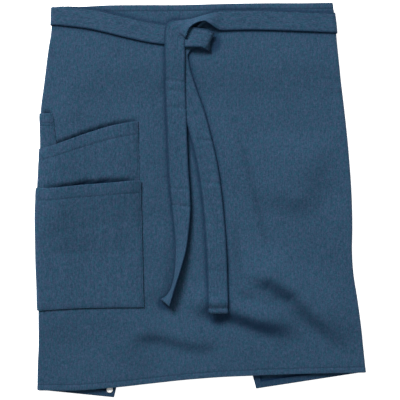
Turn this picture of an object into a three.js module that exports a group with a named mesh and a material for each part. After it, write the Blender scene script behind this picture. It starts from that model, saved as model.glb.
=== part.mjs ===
// A short waist apron in heathered blue cloth, lying flat with its front up. The two side wings are folded
// behind the front, the ties come round the two folds from behind, are half knotted over the middle of the
// waist, and their tails lie down the front. Three patch pockets wrap round the left fold.
// Millimetres. X runs across the front to the right, Y up from hem to waist, Z up from the surface below.

import * as THREE from "three";

// Cloth and air.
const CLOTH = 1.0;
const CLEARANCE = 0.35;
const LOFT = 5.2; // air between the front and the wings
const SAG = 4.5; // how far the front sinks where no wing is behind it
const CREASE_RISE = 4.2;
const CREASE_REACH = 34; // from a crease's ridge to its foot

// Front and wings.
const FRONT_LENGTH = 575; // down the left fold
const HEM_WIDTH = 494;
const LEFT_WING = 115; // width at the hem
const RIGHT_WING = 165;
const LEFT_WING_TILT = { waist: 0.07, hem: 0.1 }; // a wing's edges sink towards the middle by this slope
const RIGHT_WING_TILT = { waist: 0.2, hem: 0.154 };

// Pockets.
const POCKET_WIDTH = 157; // on the front
const POCKET_WRAP = 30; // behind the left fold
const POCKET_BOTTOM = 457; // below the waist line
const LOWER_DEPTH = 191;
const SLANT_DEPTH = 281;
const SLANT_HEM_RISE = 6; // the slanted pocket ends this much above the lower one's bottom
const SLANT_WIDTH = 149;
const PEN_MOUTH = 166; // below the waist line
const PEN_DEPTH = 138;
const PEN_WIDTH = { mouth: 17.5, bottom: 25 };
const PEN_WRAP = 15;
const MOUTH_GAPE = { pen: 1.2, slanted: 6, lower: 7.2 };

// Ties.
const TIE_WIDTH = 30.5;
const TIE_THICKNESS = 1.6;
const TIE_ROOT = 21; // sewn length under the wing's corner
const TIE_STEP = 14; // between two sections of a tie

// Press stud.
const SNAP_DIAMETER = 9.7;
const SNAP_HEIGHT = 2.4;
const SNAP_FROM_EDGE = 9;
const SNAP_FROM_HEM = 11;

// What follows from them.
const LAYER = CLOTH + CLEARANCE;
const PLY = TIE_THICKNESS + CLEARANCE;
const LIFT = Math.max(3 * LAYER, 2 * PLY); // room for pocket wraps and ties under a wing
const FOLD_RADIUS = (CLOTH + LOFT) / 2;
const QUARTER = (FOLD_RADIUS * Math.PI) / 2; // cloth from a fold's outer line to the flat
const ARC_STEPS = 6;
const TIE_ROW = 0.09; // the row of the wings where the ties are sewn on
const TIE_BAND_END = 0.15; // the row where the wings start to come down from the ties
const LIFT_RUN = 62; // distance over which lifted cloth comes down

// The two fold lines: distance from the middle line, as shares of the hem width, at shares of the way down.
const FOLD_LINES = [
  { down: 0.0, left: 0.45, right: 0.402 },
  { down: 0.06, left: 0.453, right: 0.41 },
  { down: 0.11, left: 0.462, right: 0.415 },
  { down: 0.2, left: 0.475, right: 0.426 },
  { down: 0.27, left: 0.485, right: 0.436 },
  { down: 0.36, left: 0.484, right: 0.447 },
  { down: 0.43, left: 0.488, right: 0.454 },
  { down: 0.49, left: 0.492, right: 0.459 },
  { down: 0.55, left: 0.496, right: 0.462 },
  { down: 0.61, left: 0.497, right: 0.463 },
  { down: 0.67, left: 0.496, right: 0.462 },
  { down: 0.73, left: 0.493, right: 0.466 },
  { down: 0.8, left: 0.492, right: 0.478 },
  { down: 0.88, left: 0.493, right: 0.49 },
  { down: 0.94, left: 0.496, right: 0.497 },
  { down: 1.0, left: 0.497, right: 0.504 },
];

// The waist edge and the hem: drop below the waist line in front lengths, across from left to right fold.
const EDGES = [
  { across: 0.0, waist: 0.013, hem: 1.013 },
  { across: 0.12, waist: 0.01, hem: 1.013 },
  { across: 0.2, waist: 0.007, hem: 1.008 },
  { across: 0.33, waist: 0.006, hem: 0.998 },
  { across: 0.45, waist: 0.006, hem: 0.987 },
  { across: 0.57, waist: 0.004, hem: 0.979 },
  { across: 0.69, waist: 0.002, hem: 0.973 },
  { across: 0.79, waist: 0.001, hem: 0.97 },
  { across: 0.88, waist: 0.001, hem: 0.968 },
  { across: 1.0, waist: 0.0, hem: 0.966 },
];

// Wing widths as shares of their widths at the hem.
const WING_WIDTHS = [
  { down: 0.0, left: 1.41, right: 1.345 },
  { down: 0.5, left: 1.29, right: 1.19 },
  { down: 0.85, left: 1.16, right: 1.07 },
  { down: 1.0, left: 1.0, right: 1.0 },
];

// Soft creases of the front, from end to end: across from the middle line in hem widths, down in front
// lengths, rise as a share of the full rise.
const CREASES = [
  { fromAcross: 0.05, fromDown: 0.27, toAcross: 0.2, toDown: 0.69, rise: 0.55 },
  { fromAcross: 0.14, fromDown: 0.71, toAcross: 0.466, toDown: 0.904, rise: 1 },
  { fromAcross: 0.0, fromDown: 0.8, toAcross: 0.293, toDown: 0.86, rise: 0.8 },
  { fromAcross: -0.2, fromDown: 0.88, toAcross: 0.087, toDown: 0.885, rise: 0.6 },
  { fromAcross: 0.345, fromDown: 0.36, toAcross: 0.27, toDown: 0.55, rise: 0.45 },
];

// Pocket mouths and bottom, drop below their corners at the right edge: the slanted mouth in slanted depths,
// the lower mouth and the bottom in lower depths, across in pocket widths from the fold.
const POCKET_EDGES = [
  { across: 0.0, slanted: 0.156, lower: 0.063, bottom: 0.026 },
  { across: 0.17, slanted: 0.129, lower: 0.061, bottom: 0.015 },
  { across: 0.41, slanted: 0.078, lower: 0.039, bottom: 0.005 },
  { across: 0.65, slanted: 0.036, lower: 0.024, bottom: 0.002 },
  { across: 0.83, slanted: 0.014, lower: 0.01, bottom: 0.0 },
  { across: 1.0, slanted: 0.0, lower: 0.0, bottom: 0.0 },
];

// The columns that the front and the pockets share, in pocket widths from the left fold.
const SHARED_COLUMNS = [0, 0.05, 0.12, 0.2, 0.29, 0.39, 0.5, 0.61, 0.72, 0.82, 0.89];
const POCKET_ROWS = [0, 0.06, 0.14, 0.24, 0.36, 0.5, 0.66, 0.83, 1];

// Where each tie's centre line runs along the cloth: reach is the distance from the fold line in hem widths,
// on the wing's side below zero and on the front above it. Down is in front lengths.
const RIGHT_TIE_BAND = [
  { reach: -0.46, down: 0.122 },
  { reach: -0.2, down: 0.066 },
  { reach: -0.05, down: 0.0375 },
  { reach: 0.0, down: 0.0325 },
  { reach: 0.06, down: 0.036 },
  { reach: 0.133, down: 0.0445 },
  { reach: 0.242, down: 0.066 },
  { reach: 0.306, down: 0.0775 },
  { reach: 0.35, down: 0.083 },
];
const LEFT_TIE_BAND = [
  { reach: -0.545, down: 0.059 },
  { reach: -0.3, down: 0.058 },
  { reach: -0.05, down: 0.054 },
  { reach: 0.0, down: 0.053 },
  { reach: 0.08, down: 0.05 },
  { reach: 0.2, down: 0.0465 },
  { reach: 0.28, down: 0.0455 },
  { reach: 0.34, down: 0.047 },
];

// From there through the knot and down the tail: across from the middle line in hem widths, down in front
// lengths, ply the number of tie layers underneath, roll in degrees about the tie's own line, width as a
// share of the tie's width where the cloth is bunched.
const RIGHT_TIE_TAIL = [
  { across: -0.07, down: 0.0875, ply: 0.0, roll: 0, width: 1 },
  { across: -0.052, down: 0.09, ply: 0.15, roll: 0, width: 1 },
  { across: -0.035, down: 0.0925, ply: 1.4, roll: 0, width: 1 },
  { across: -0.008, down: 0.094, ply: 2.4, roll: 0, width: 0.97 },
  { across: 0.018, down: 0.095, ply: 2.3, roll: 0, width: 0.92 },
  { across: 0.03, down: 0.0955, ply: 1.8, roll: 0, width: 0.9 },
  { across: 0.034, down: 0.096, ply: 1.0, roll: 0, width: 0.88 },
  { across: 0.028, down: 0.0965, ply: 0.2, roll: 0, width: 0.84 },
  { across: 0.014, down: 0.098, ply: 0.0, roll: 0, width: 0.72 },
  { across: -0.006, down: 0.102, ply: 0.0, roll: 0, width: 0.5 },
  { across: -0.023, down: 0.116, ply: 0.0, roll: 0, width: 0.4 },
  { across: -0.033, down: 0.14, ply: 0.0, roll: 0, width: 0.45 },
  { across: -0.045, down: 0.17, ply: 0.0, roll: 0, width: 0.75 },
  { across: -0.049, down: 0.202, ply: 0.0, roll: 0, width: 0.95 },
  { across: -0.04, down: 0.24, ply: 0.0, roll: 0, width: 1 },
  { across: -0.02, down: 0.285, ply: 0.0, roll: 0, width: 1 },
  { across: -0.003, down: 0.335, ply: 0.0, roll: 0, width: 1 },
  { across: 0.02, down: 0.42, ply: 0.0, roll: 0, width: 1 },
  { across: 0.038, down: 0.53, ply: 0.2, roll: 0, width: 1 },
  { across: 0.048, down: 0.64, ply: 0.45, roll: 0, width: 1 },
  { across: 0.052, down: 0.75, ply: 0.2, roll: 0, width: 1 },
  { across: 0.053, down: 0.788, ply: 0.3, roll: 0, width: 1 },
  { across: 0.053, down: 0.807, ply: 1.2, roll: 0, width: 1 },
];
const LEFT_TIE_TAIL = [
  { across: 0.045, down: 0.0455, ply: 0.2, roll: 6, width: 0.92 },
  { across: 0.014, down: 0.042, ply: 0.8, roll: 30, width: 0.66 },
  { across: -0.014, down: 0.0425, ply: 1.3, roll: 48, width: 0.5 },
  { across: -0.04, down: 0.048, ply: 1.8, roll: 42, width: 0.6 },
  { across: -0.063, down: 0.061, ply: 1.9, roll: 22, width: 0.8 },
  { across: -0.0745, down: 0.082, ply: 1.8, roll: 6, width: 0.95 },
  { across: -0.077, down: 0.11, ply: 1.8, roll: 0, width: 1 },
  { across: -0.077, down: 0.15, ply: 1.6, roll: 0, width: 1 },
  { across: -0.077, down: 0.205, ply: 1.6, roll: 0, width: 1 },
  { across: -0.0735, down: 0.29, ply: 2, roll: 0, width: 1 },
  { across: -0.068, down: 0.42, ply: 1.7, roll: 0, width: 1 },
  { across: -0.062, down: 0.49, ply: 1.2, roll: 10, width: 1 },
  { across: -0.058, down: 0.54, ply: 0.5, roll: 26, width: 1 },
  { across: -0.056, down: 0.59, ply: 0.3, roll: 42, width: 1 },
  { across: -0.058, down: 0.645, ply: 0.2, roll: 56, width: 1 },
  { across: -0.063, down: 0.685, ply: 0.2, roll: 63, width: 1 },
  { across: -0.071, down: 0.72, ply: 0.2, roll: 64, width: 1 },
  { across: -0.085, down: 0.75, ply: 0.2, roll: 58, width: 1 },
  { across: -0.107, down: 0.782, ply: 0.2, roll: 50, width: 1 },
];

const CLOTH_BLUE = new THREE.Color(0x30506a);
const STUD_WHITE = new THREE.Color(0xe9e9ec);

const { clamp, degToRad, lerp } = THREE.MathUtils;

function ease(from, to, value) {
  const t = clamp((value - from) / (to - from), 0, 1);
  return t * t * (3 - 2 * t);
}

// A smooth value from a table: its named column where its key column reaches `at`.
function read(table, key, column, at) {
  let i = 1;
  while (i < table.length - 1 && table[i][key] < at) i += 1;
  const [a, b] = [table[i - 1], table[i]];
  const [before, after] = [table[i - 2] ?? a, table[i + 1] ?? b];
  const span = b[key] - a[key];
  const slopeA = (span * (b[column] - before[column])) / (b[key] - before[key]);
  const slopeB = (span * (after[column] - a[column])) / (after[key] - a[key]);
  const t = clamp((at - a[key]) / span, 0, 1);
  const t2 = t * t;
  const t3 = t2 * t;
  return (
    (2 * t3 - 3 * t2 + 1) * a[column] +
    (t3 - 2 * t2 + t) * slopeA +
    (3 * t2 - 2 * t3) * b[column] +
    (t3 - t2) * slopeB
  );
}

// Side -1 is the left fold and wing, side 1 the right ones.
function foldX(side, down) {
  return side * HEM_WIDTH * read(FOLD_LINES, "down", side < 0 ? "left" : "right", down);
}

function wingWidth(side, down) {
  return side < 0
    ? LEFT_WING * read(WING_WIDTHS, "down", "left", down)
    : RIGHT_WING * read(WING_WIDTHS, "down", "right", down);
}

// How far below the waist line a row of the front lies at x.
function rowY(x, down) {
  const left = foldX(-1, down);
  const across = clamp((x - left) / (foldX(1, down) - left), 0, 1);
  const waist = read(EDGES, "across", "waist", across);
  const hem = read(EDGES, "across", "hem", across);
  return -FRONT_LENGTH * lerp(waist, hem, down);
}

// The row that passes through a height y, found in a few steps because the fold lines lean.
function rowAt(xOf, y) {
  let down = -y / FRONT_LENGTH;
  for (let step = 0; step < 6; step += 1) {
    down = clamp(down + (rowY(xOf(down), down) - y) / FRONT_LENGTH, 0, 1);
  }
  return down;
}

// Room for what passes under the wings: the ties along the waist, and the pocket wraps along the left fold.
function stackLift(fromLeft, down) {
  const waist = 1 - ease(TIE_BAND_END, TIE_BAND_END + LIFT_RUN / FRONT_LENGTH, down);
  const bottom = (POCKET_BOTTOM + 2 * CLOTH) / FRONT_LENGTH;
  const above = 1 - ease(bottom, bottom + LIFT_RUN / FRONT_LENGTH, down);
  const wraps = above * (1 - ease(POCKET_WRAP + 2 * CLOTH, POCKET_WRAP + LIFT_RUN, fromLeft));
  return LIFT * (1 - (1 - waist) * (1 - wraps));
}

// The front sinks between the two wings, most where they are furthest apart.
function sagDepth(x, down) {
  const left = foldX(-1, down) + wingWidth(-1, down);
  const right = foldX(1, down) - wingWidth(1, down);
  const open = ease(0.08, 0.36, (right - left) / HEM_WIDTH);
  const slope = 0.12 * HEM_WIDTH;
  return SAG * open * ease(left, left + slope, x) * (1 - ease(right - slope, right, x));
}

function creaseHeight(x, y) {
  return CREASES.reduce((height, crease) => {
    const from = new THREE.Vector2(crease.fromAcross * HEM_WIDTH, -crease.fromDown * FRONT_LENGTH);
    const to = new THREE.Vector2(crease.toAcross * HEM_WIDTH, -crease.toDown * FRONT_LENGTH);
    const along = to.clone().sub(from);
    const point = new THREE.Vector2(x, y).sub(from);
    const share = clamp(point.dot(along) / along.lengthSq(), 0, 1);
    const away = Math.min(point.sub(along.multiplyScalar(share)).length() / CREASE_REACH, 1);
    return height + CREASE_RISE * crease.rise * (1 - away * away) ** 2;
  }, 0);
}

// Heights of the middle of the cloth.
function frontHeight(x, down) {
  const lift = stackLift(x - foldX(-1, down), down);
  return CLOTH * 1.5 + LOFT + lift - sagDepth(x, down) + creaseHeight(x, rowY(x, down));
}

function wingHeight(side, inset, down) {
  return CLOTH / 2 + stackLift(side < 0 ? inset : HEM_WIDTH, down);
}

// The middle of the cloth near a fold. Reach is measured along the cloth from the fold's outer line, on to
// the front above zero and on to the wing below it.
function clothPoint(side, reach, down) {
  const turn = (clamp(reach / QUARTER, -1, 1) * Math.PI) / 2;
  const inset = FOLD_RADIUS * (1 - Math.cos(turn)) + Math.max(Math.abs(reach) - QUARTER, 0);
  const x = foldX(side, down) - side * inset;
  const lower = wingHeight(side, inset, down);
  const upper = frontHeight(x, down);
  const tilt = side < 0 ? LEFT_WING_TILT : RIGHT_WING_TILT;
  const wingY = rowY(foldX(side, down), down) - inset * lerp(tilt.waist, tilt.hem, down);
  const y = reach > 0 ? rowY(x, down) : wingY;
  return new THREE.Vector3(x, y, (upper + lower + Math.sin(turn) * (upper - lower)) / 2);
}

// A point that lies off the cloth by a distance, outside it.
function besideCloth(side, reach, down, distance) {
  const step = 0.5;
  const rowStep = 0.002;
  const row = clamp(down, rowStep, 1 - rowStep);
  const along = clothPoint(side, reach + step, row).sub(clothPoint(side, reach - step, row));
  const downwards = clothPoint(side, reach, row + rowStep).sub(clothPoint(side, reach, row - rowStep));
  const normal = along.cross(downwards).normalize().multiplyScalar(side * distance);
  return clothPoint(side, reach, down).add(normal);
}

// The row of the cloth at a reach from a fold that lies at height y on the front.
function rowNear(side, reach, y) {
  return rowAt((down) => foldX(side, down) - side * Math.max(reach, 0), y);
}

// A closed sheet from a grid of points on its middle surface.
function sheetGeometry(grid, thickness) {
  const rows = grid.length;
  const columns = grid[0].length;
  const positions = [];
  const normalAt = (i, j) => {
    const along = grid[i][Math.min(j + 1, columns - 1)].clone().sub(grid[i][Math.max(j - 1, 0)]);
    const across = grid[Math.min(i + 1, rows - 1)][j].clone().sub(grid[Math.max(i - 1, 0)][j]);
    return along.cross(across).normalize();
  };
  for (const face of [0.5, -0.5]) {
    grid.forEach((row, i) =>
      row.forEach((point, j) => {
        positions.push(...point.clone().addScaledVector(normalAt(i, j), face * thickness));
      }),
    );
  }
  const at = (face, i, j) => (face * rows + i) * columns + j;
  const indices = [];
  const quad = (a, b, c, d) => indices.push(a, b, c, a, c, d);
  for (let i = 0; i < rows - 1; i += 1) {
    for (let j = 0; j < columns - 1; j += 1) {
      quad(at(0, i, j), at(0, i, j + 1), at(0, i + 1, j + 1), at(0, i + 1, j));
      quad(at(1, i + 1, j), at(1, i + 1, j + 1), at(1, i, j + 1), at(1, i, j));
    }
  }
  for (let j = 0; j < columns - 1; j += 1) {
    quad(at(0, 0, j), at(1, 0, j), at(1, 0, j + 1), at(0, 0, j + 1));
    quad(at(0, rows - 1, j + 1), at(1, rows - 1, j + 1), at(1, rows - 1, j), at(0, rows - 1, j));
  }
  for (let i = 0; i < rows - 1; i += 1) {
    quad(at(0, i + 1, 0), at(1, i + 1, 0), at(1, i, 0), at(0, i, 0));
    quad(at(0, i, columns - 1), at(1, i, columns - 1), at(1, i + 1, columns - 1), at(0, i + 1, columns - 1));
  }
  const geometry = new THREE.BufferGeometry();
  geometry.setAttribute("position", new THREE.Float32BufferAttribute(positions, 3));
  geometry.setIndex(indices);
  geometry.computeVertexNormals();
  return geometry;
}

const steps = (count) => Array.from({ length: count + 1 }, (_, i) => i / count);
const arcReaches = steps(ARC_STEPS).map((t) => (2 * t - 1) * QUARTER);

// The front with its two folds and wings, one cloth.
function bodyGeometry() {
  const leftFlats = [0.35, 0.6, 0.8, 1];
  const rightFlats = steps(8).slice(1);
  const rightColumns = 16;
  const grid = steps(25).map((down) => {
    const leftWing = wingWidth(-1, down) - FOLD_RADIUS;
    const rightWing = wingWidth(1, down) - FOLD_RADIUS;
    const beyondWraps = leftFlats.map((share) => lerp(POCKET_WRAP, leftWing, share));
    const behindLeft = [PEN_WRAP, POCKET_WRAP, ...beyondWraps];
    const leftReaches = [
      ...behindLeft.reverse().map((distance) => -QUARTER - distance),
      ...arcReaches,
      ...SHARED_COLUMNS.slice(1).map((share) => QUARTER + share * POCKET_WIDTH),
    ];
    const left = leftReaches.map((reach) => clothPoint(-1, reach, down));
    const behindRight = rightFlats.map((share) => -QUARTER - share * rightWing);
    const rightReaches = [...[...arcReaches].reverse(), ...behindRight];
    const right = rightReaches.map((reach) => clothPoint(1, reach, down));
    const middle = steps(rightColumns)
      .slice(1, -1)
      .map((share) => {
        const x = lerp(left.at(-1).x, right[0].x, share);
        return new THREE.Vector3(x, rowY(x, down), frontHeight(x, down));
      });
    return [...left, ...middle, ...right];
  });
  return sheetGeometry(grid.reverse(), CLOTH);
}

// Layers of pocket cloth between the front and the slanted pocket: one more over the pen pocket.
function underSlanted(reach, y) {
  const penBottom = PEN_MOUTH + PEN_DEPTH;
  const beside = ease(PEN_WIDTH.bottom + QUARTER + 2 * CLOTH, PEN_WIDTH.bottom + POCKET_WRAP, reach);
  const below = ease(penBottom, penBottom + LIFT_RUN, -y);
  return 1 + (1 - beside) * (1 - below);
}

// How far a mouth stands open: most at the middle of its width, closing halfway down.
function gape(height, share, row) {
  return height * (1 - (2 * clamp(share, 0, 1) - 1) ** 4) * Math.max(1 - (row / 0.55) ** 2, 0);
}

function pocketY(column, reach) {
  const across = clamp(reach / POCKET_WIDTH, 0, 1);
  const drop = read(POCKET_EDGES, "across", column, across);
  const edges = {
    slanted: POCKET_BOTTOM - SLANT_DEPTH + drop * SLANT_DEPTH,
    lower: POCKET_BOTTOM - LOWER_DEPTH + drop * LOWER_DEPTH,
    bottom: POCKET_BOTTOM + drop * LOWER_DEPTH,
  };
  return -edges[column];
}

function slantedDistance(reach, y) {
  const top = pocketY("slanted", reach);
  const row = (top - y) / (top - pocketY("bottom", reach) - SLANT_HEM_RISE);
  return LAYER * underSlanted(reach, y) + gape(MOUTH_GAPE.slanted, reach / SLANT_WIDTH, Math.max(row, 0));
}

// A pocket from its mouth to its bottom over the columns that it shares with the front.
function pocketGeometry(reaches, rows, mouthAt, bottomAt, distanceAt) {
  const grid = rows.map((row) =>
    reaches(row).map((reach) => {
      const y = lerp(mouthAt(reach), bottomAt(reach), row);
      return besideCloth(-1, reach, rowNear(-1, reach, y), distanceAt(reach, y, row));
    }),
  );
  return sheetGeometry(grid.reverse(), CLOTH);
}

function wrappedReaches(width) {
  const columns = SHARED_COLUMNS.slice(1).map((share) => share * POCKET_WIDTH);
  const front = columns.filter((distance) => distance < width - CLOTH);
  const flat = [...front, width].map((distance) => QUARTER + distance);
  return [-QUARTER - POCKET_WRAP, -QUARTER - PEN_WRAP, ...arcReaches, ...flat];
}

function lowerPocketGeometry() {
  const distance = (reach, y, row) =>
    slantedDistance(reach, y) + LAYER + gape(MOUTH_GAPE.lower, reach / POCKET_WIDTH, row);
  return pocketGeometry(
    () => wrappedReaches(POCKET_WIDTH),
    POCKET_ROWS,
    (reach) => pocketY("lower", reach),
    (reach) => pocketY("bottom", reach),
    distance,
  );
}

function slantedPocketGeometry() {
  return pocketGeometry(
    () => wrappedReaches(SLANT_WIDTH),
    POCKET_ROWS,
    (reach) => pocketY("slanted", reach),
    (reach) => pocketY("bottom", reach) + SLANT_HEM_RISE,
    slantedDistance,
  );
}

function penPocketGeometry() {
  const reaches = (row) => {
    const width = lerp(PEN_WIDTH.mouth, PEN_WIDTH.bottom, ease(0, 0.4, row));
    return [-QUARTER - PEN_WRAP, ...arcReaches, ...[0.45, 1].map((share) => QUARTER + share * width)];
  };
  const mouth = () => -PEN_MOUTH;
  return pocketGeometry(
    reaches,
    steps(6),
    mouth,
    () => -PEN_MOUTH - PEN_DEPTH,
    (reach, y, row) => LAYER + gape(MOUTH_GAPE.pen, reach / PEN_WIDTH.mouth, row),
  );
}

function heightOver(x, y) {
  return frontHeight(x, rowAt(() => x, y));
}

// The inner edge of a wing where the ties are sewn on.
function innerEdge(side) {
  return foldX(side, TIE_ROW) - side * wingWidth(side, TIE_ROW);
}

// How far a tie is lifted off the surface behind the apron: the left tie where it crosses the right one, the
// right tie where it rises to its own wing.
function backRise(side, x) {
  const edge = innerEdge(1);
  const crossing = 1 - ease(edge, edge + 3 * TIE_ROOT, x);
  const seat = ease(edge + 0.1 * TIE_ROOT, edge + 0.9 * TIE_ROOT, x);
  return PLY * (side > 0 ? crossing : seat);
}

// Sections of a tie from its root along the other wing, round that wing's fold and on to the front. Behind
// the fold it lies on the surface below.
function bandSections(side, band) {
  const rootX = innerEdge(-side) - side * TIE_ROOT;
  const first = -QUARTER - (Math.abs(rootX - foldX(side, TIE_ROW)) - FOLD_RADIUS);
  const last = band.at(-1).reach * HEM_WIDTH;
  const behind = steps(Math.ceil((-first - QUARTER) / (1.6 * TIE_STEP))).map((t) => lerp(first, -QUARTER, t));
  const front = steps(Math.ceil((last - QUARTER) / TIE_STEP)).map((t) => lerp(QUARTER, last, t));
  const centreY = (reach) => -FRONT_LENGTH * read(band, "reach", "down", reach / HEM_WIDTH);
  return [...behind, ...arcReaches.slice(1, -1), ...front].map((reach) => {
    const slope = (centreY(reach + 1) - centreY(reach - 1)) / 2;
    const across = new THREE.Vector2(-slope, 1).normalize().multiplyScalar(TIE_WIDTH / 2);
    return [1, 0, -1].map((share) => {
      const at = reach + share * across.x;
      const y = centreY(reach) + share * across.y;
      const point = besideCloth(side, at, rowNear(side, at, y), CLOTH / 2 + CLEARANCE + TIE_THICKNESS / 2);
      if (reach > -QUARTER) return point;
      const onSurface = TIE_THICKNESS / 2 + backRise(side, point.x);
      return new THREE.Vector3(point.x, y, lerp(point.z, onSurface, ease(4, 50, -reach - QUARTER)));
    });
  });
}

// The rows of a tail's table as places: the tie's lower edge lies on the front or on the plies under it.
function tailRows(start, tail) {
  const rows = tail.map((row) => ({ ...row, x: row.across * HEM_WIDTH, y: -row.down * FRONT_LENGTH }));
  return rows.map((row, i) => {
    const previous = rows[i - 1] ?? start;
    const next = rows[i + 1] ?? row;
    const half = (TIE_WIDTH * row.width) / 2;
    const roll = degToRad(row.roll);
    const across = new THREE.Vector2(previous.y - next.y, next.x - previous.x);
    across.setLength(half * Math.cos(roll));
    const under = [-1, 0, 1].map((share) => heightOver(row.x + share * across.x, row.y + share * across.y));
    const gap = CLOTH / 2 + CLEARANCE + TIE_THICKNESS / 2 + row.ply * PLY;
    const z = Math.max(...under) + gap + Math.abs(Math.sin(roll)) * half;
    return { ...row, place: new THREE.Vector3(row.x, row.y, z) };
  });
}

// Sections through the knot and down the tail. The width lies level across the line, and is then rolled as
// the table says. Where the line turns over in the knot, the width keeps its direction.
function tailSections(lastSection, tail) {
  const start = lastSection[1];
  const rows = [{ place: start, roll: 0, width: 1 }, ...tailRows(start, tail)];
  const line = new THREE.CatmullRomCurve3(rows.map((row) => row.place), false, "centripetal");
  let across = lastSection[0].clone().sub(lastSection[2]).normalize();
  const sections = [];
  for (let i = 0; i < rows.length - 1; i += 1) {
    const count = Math.max(1, Math.round(rows[i].place.distanceTo(rows[i + 1].place) / TIE_STEP));
    for (let k = 1; k <= count; k += 1) {
      const share = k / count;
      const centre = line.getPoint((i + share) / (rows.length - 1));
      const heading = line.getTangent((i + share) / (rows.length - 1));
      const level = new THREE.Vector3(-heading.y, heading.x, 0);
      const turningOver = level.length() < 0.5;
      const facing = Math.sign(level.dot(across));
      across = (turningOver ? across.clone().setZ(0) : level.multiplyScalar(facing)).normalize();
      const roll = degToRad(lerp(rows[i].roll, rows[i + 1].roll, share));
      const half = (TIE_WIDTH * lerp(rows[i].width, rows[i + 1].width, share)) / 2;
      const edge = across.clone().applyAxisAngle(heading, roll).multiplyScalar(half);
      sections.push([centre.clone().add(edge), centre, centre.clone().sub(edge)]);
    }
  }
  return sections;
}

function tieGeometry(side, band, tail) {
  const sections = bandSections(side, band);
  const grid = [...sections, ...tailSections(sections.at(-1), tail)];
  return sheetGeometry(side < 0 ? grid.reverse() : grid, TIE_THICKNESS);
}

// A domed stud cap with a dimple, turned about its axis.
function snapGeometry() {
  const profile = [
    { out: 0, up: 0 },
    { out: 0.94, up: 0 },
    { out: 1, up: 0.22 },
    { out: 0.93, up: 0.62 },
    { out: 0.72, up: 0.94 },
    { out: 0.5, up: 1 },
    { out: 0.34, up: 0.86 },
    { out: 0, up: 0.78 },
  ];
  const points = profile.map(({ out, up }) => new THREE.Vector2((out * SNAP_DIAMETER) / 2, up * SNAP_HEIGHT));
  return new THREE.LatheGeometry(points, 20).rotateX(Math.PI / 2);
}

function snapPlace() {
  const down = 1 - SNAP_FROM_HEM / FRONT_LENGTH;
  const corner = clothPoint(-1, -QUARTER - wingWidth(-1, down) + FOLD_RADIUS + SNAP_FROM_EDGE, down);
  return corner.setZ(corner.z + CLOTH / 2 + CLEARANCE);
}

function piece(name, geometry, material) {
  const mesh = new THREE.Mesh(geometry, material);
  mesh.name = name;
  return mesh;
}

const cloth = new THREE.MeshStandardMaterial({ color: CLOTH_BLUE, roughness: 0.9, metalness: 0 });
const tieCloth = new THREE.MeshStandardMaterial({ color: CLOTH_BLUE, roughness: 0.88, metalness: 0 });
const studPlastic = new THREE.MeshStandardMaterial({ color: STUD_WHITE, roughness: 0.25, metalness: 0 });

const apron = new THREE.Group();
apron.add(piece("apron_body", bodyGeometry(), cloth));
apron.add(piece("pocket_pen", penPocketGeometry(), cloth));
apron.add(piece("pocket_slanted", slantedPocketGeometry(), cloth));
apron.add(piece("pocket_lower", lowerPocketGeometry(), cloth));
apron.add(piece("tie_right", tieGeometry(-1, RIGHT_TIE_BAND, RIGHT_TIE_TAIL), tieCloth));
apron.add(piece("tie_left", tieGeometry(1, LEFT_TIE_BAND, LEFT_TIE_TAIL), tieCloth));
const snap = piece("snap", snapGeometry(), studPlastic);
snap.position.copy(snapPlace());
apron.add(snap);

// The origin is under the middle of the whole apron, on the surface that it lies on.
const bounds = new THREE.Box3().setFromObject(apron);
const middle = bounds.getCenter(new THREE.Vector3());
apron.position.set(-middle.x, -middle.y, -bounds.min.z);

export default apron;
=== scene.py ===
# %% [markdown]
# # A short waist apron, laid flat
#
# The apron lies front up. Its two side wings are folded behind the front, and the ties come round both
# folds, are half knotted over the middle of the waist, and hang down the front as two tails.
#
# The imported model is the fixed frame: every piece below goes where that model says.

import math

import bmesh
import bpy
import numpy as np
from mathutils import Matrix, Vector


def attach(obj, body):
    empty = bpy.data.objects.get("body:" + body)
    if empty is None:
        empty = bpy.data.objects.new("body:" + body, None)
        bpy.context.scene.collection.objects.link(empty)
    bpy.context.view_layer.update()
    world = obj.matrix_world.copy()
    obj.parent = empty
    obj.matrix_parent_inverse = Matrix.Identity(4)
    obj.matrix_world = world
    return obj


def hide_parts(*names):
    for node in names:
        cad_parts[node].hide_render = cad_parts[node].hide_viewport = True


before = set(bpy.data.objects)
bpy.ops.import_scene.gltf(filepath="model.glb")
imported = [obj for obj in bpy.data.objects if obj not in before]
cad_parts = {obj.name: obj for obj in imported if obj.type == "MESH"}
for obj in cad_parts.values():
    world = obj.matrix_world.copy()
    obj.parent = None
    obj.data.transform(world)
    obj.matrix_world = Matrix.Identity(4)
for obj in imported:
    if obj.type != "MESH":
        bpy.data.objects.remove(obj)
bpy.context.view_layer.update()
print("nodes:", sorted(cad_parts))

# %% [markdown]
# ## Camera
#
# The photograph looks straight down on the apron. Its frame is 400 by 400, and 400 pixels cover 600 mm of
# the cloth. A lens of 75 mm keeps the folds' sides out of sight, and its distance follows from its angle
# of view.

# %% Camera
FRAME_WIDTH = 0.6  # metres of cloth across the picture
LENS = 75.0
SENSOR = 36.0
CLOTH_HEIGHT = 0.01
VIEW_CENTRE = (-0.00075, 0.00105)

lens = bpy.data.cameras.new("camera")
lens.lens = LENS
lens.sensor_width = SENSOR
camera = bpy.data.objects.new("camera", lens)
camera.location = (*VIEW_CENTRE, FRAME_WIDTH * LENS / SENSOR + CLOTH_HEIGHT)
bpy.context.collection.objects.link(camera)
bpy.context.scene.camera = camera
print("the camera hangs", round(camera.location.z, 3), "m up")

# %% [markdown]
# ## Materials
#
# A material is a graph of nodes. Wiring one by hand hides what it works out, so the small class below
# wraps an output of the graph, and sums and products of it make new nodes. A recipe then reads like a
# formula.


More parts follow.
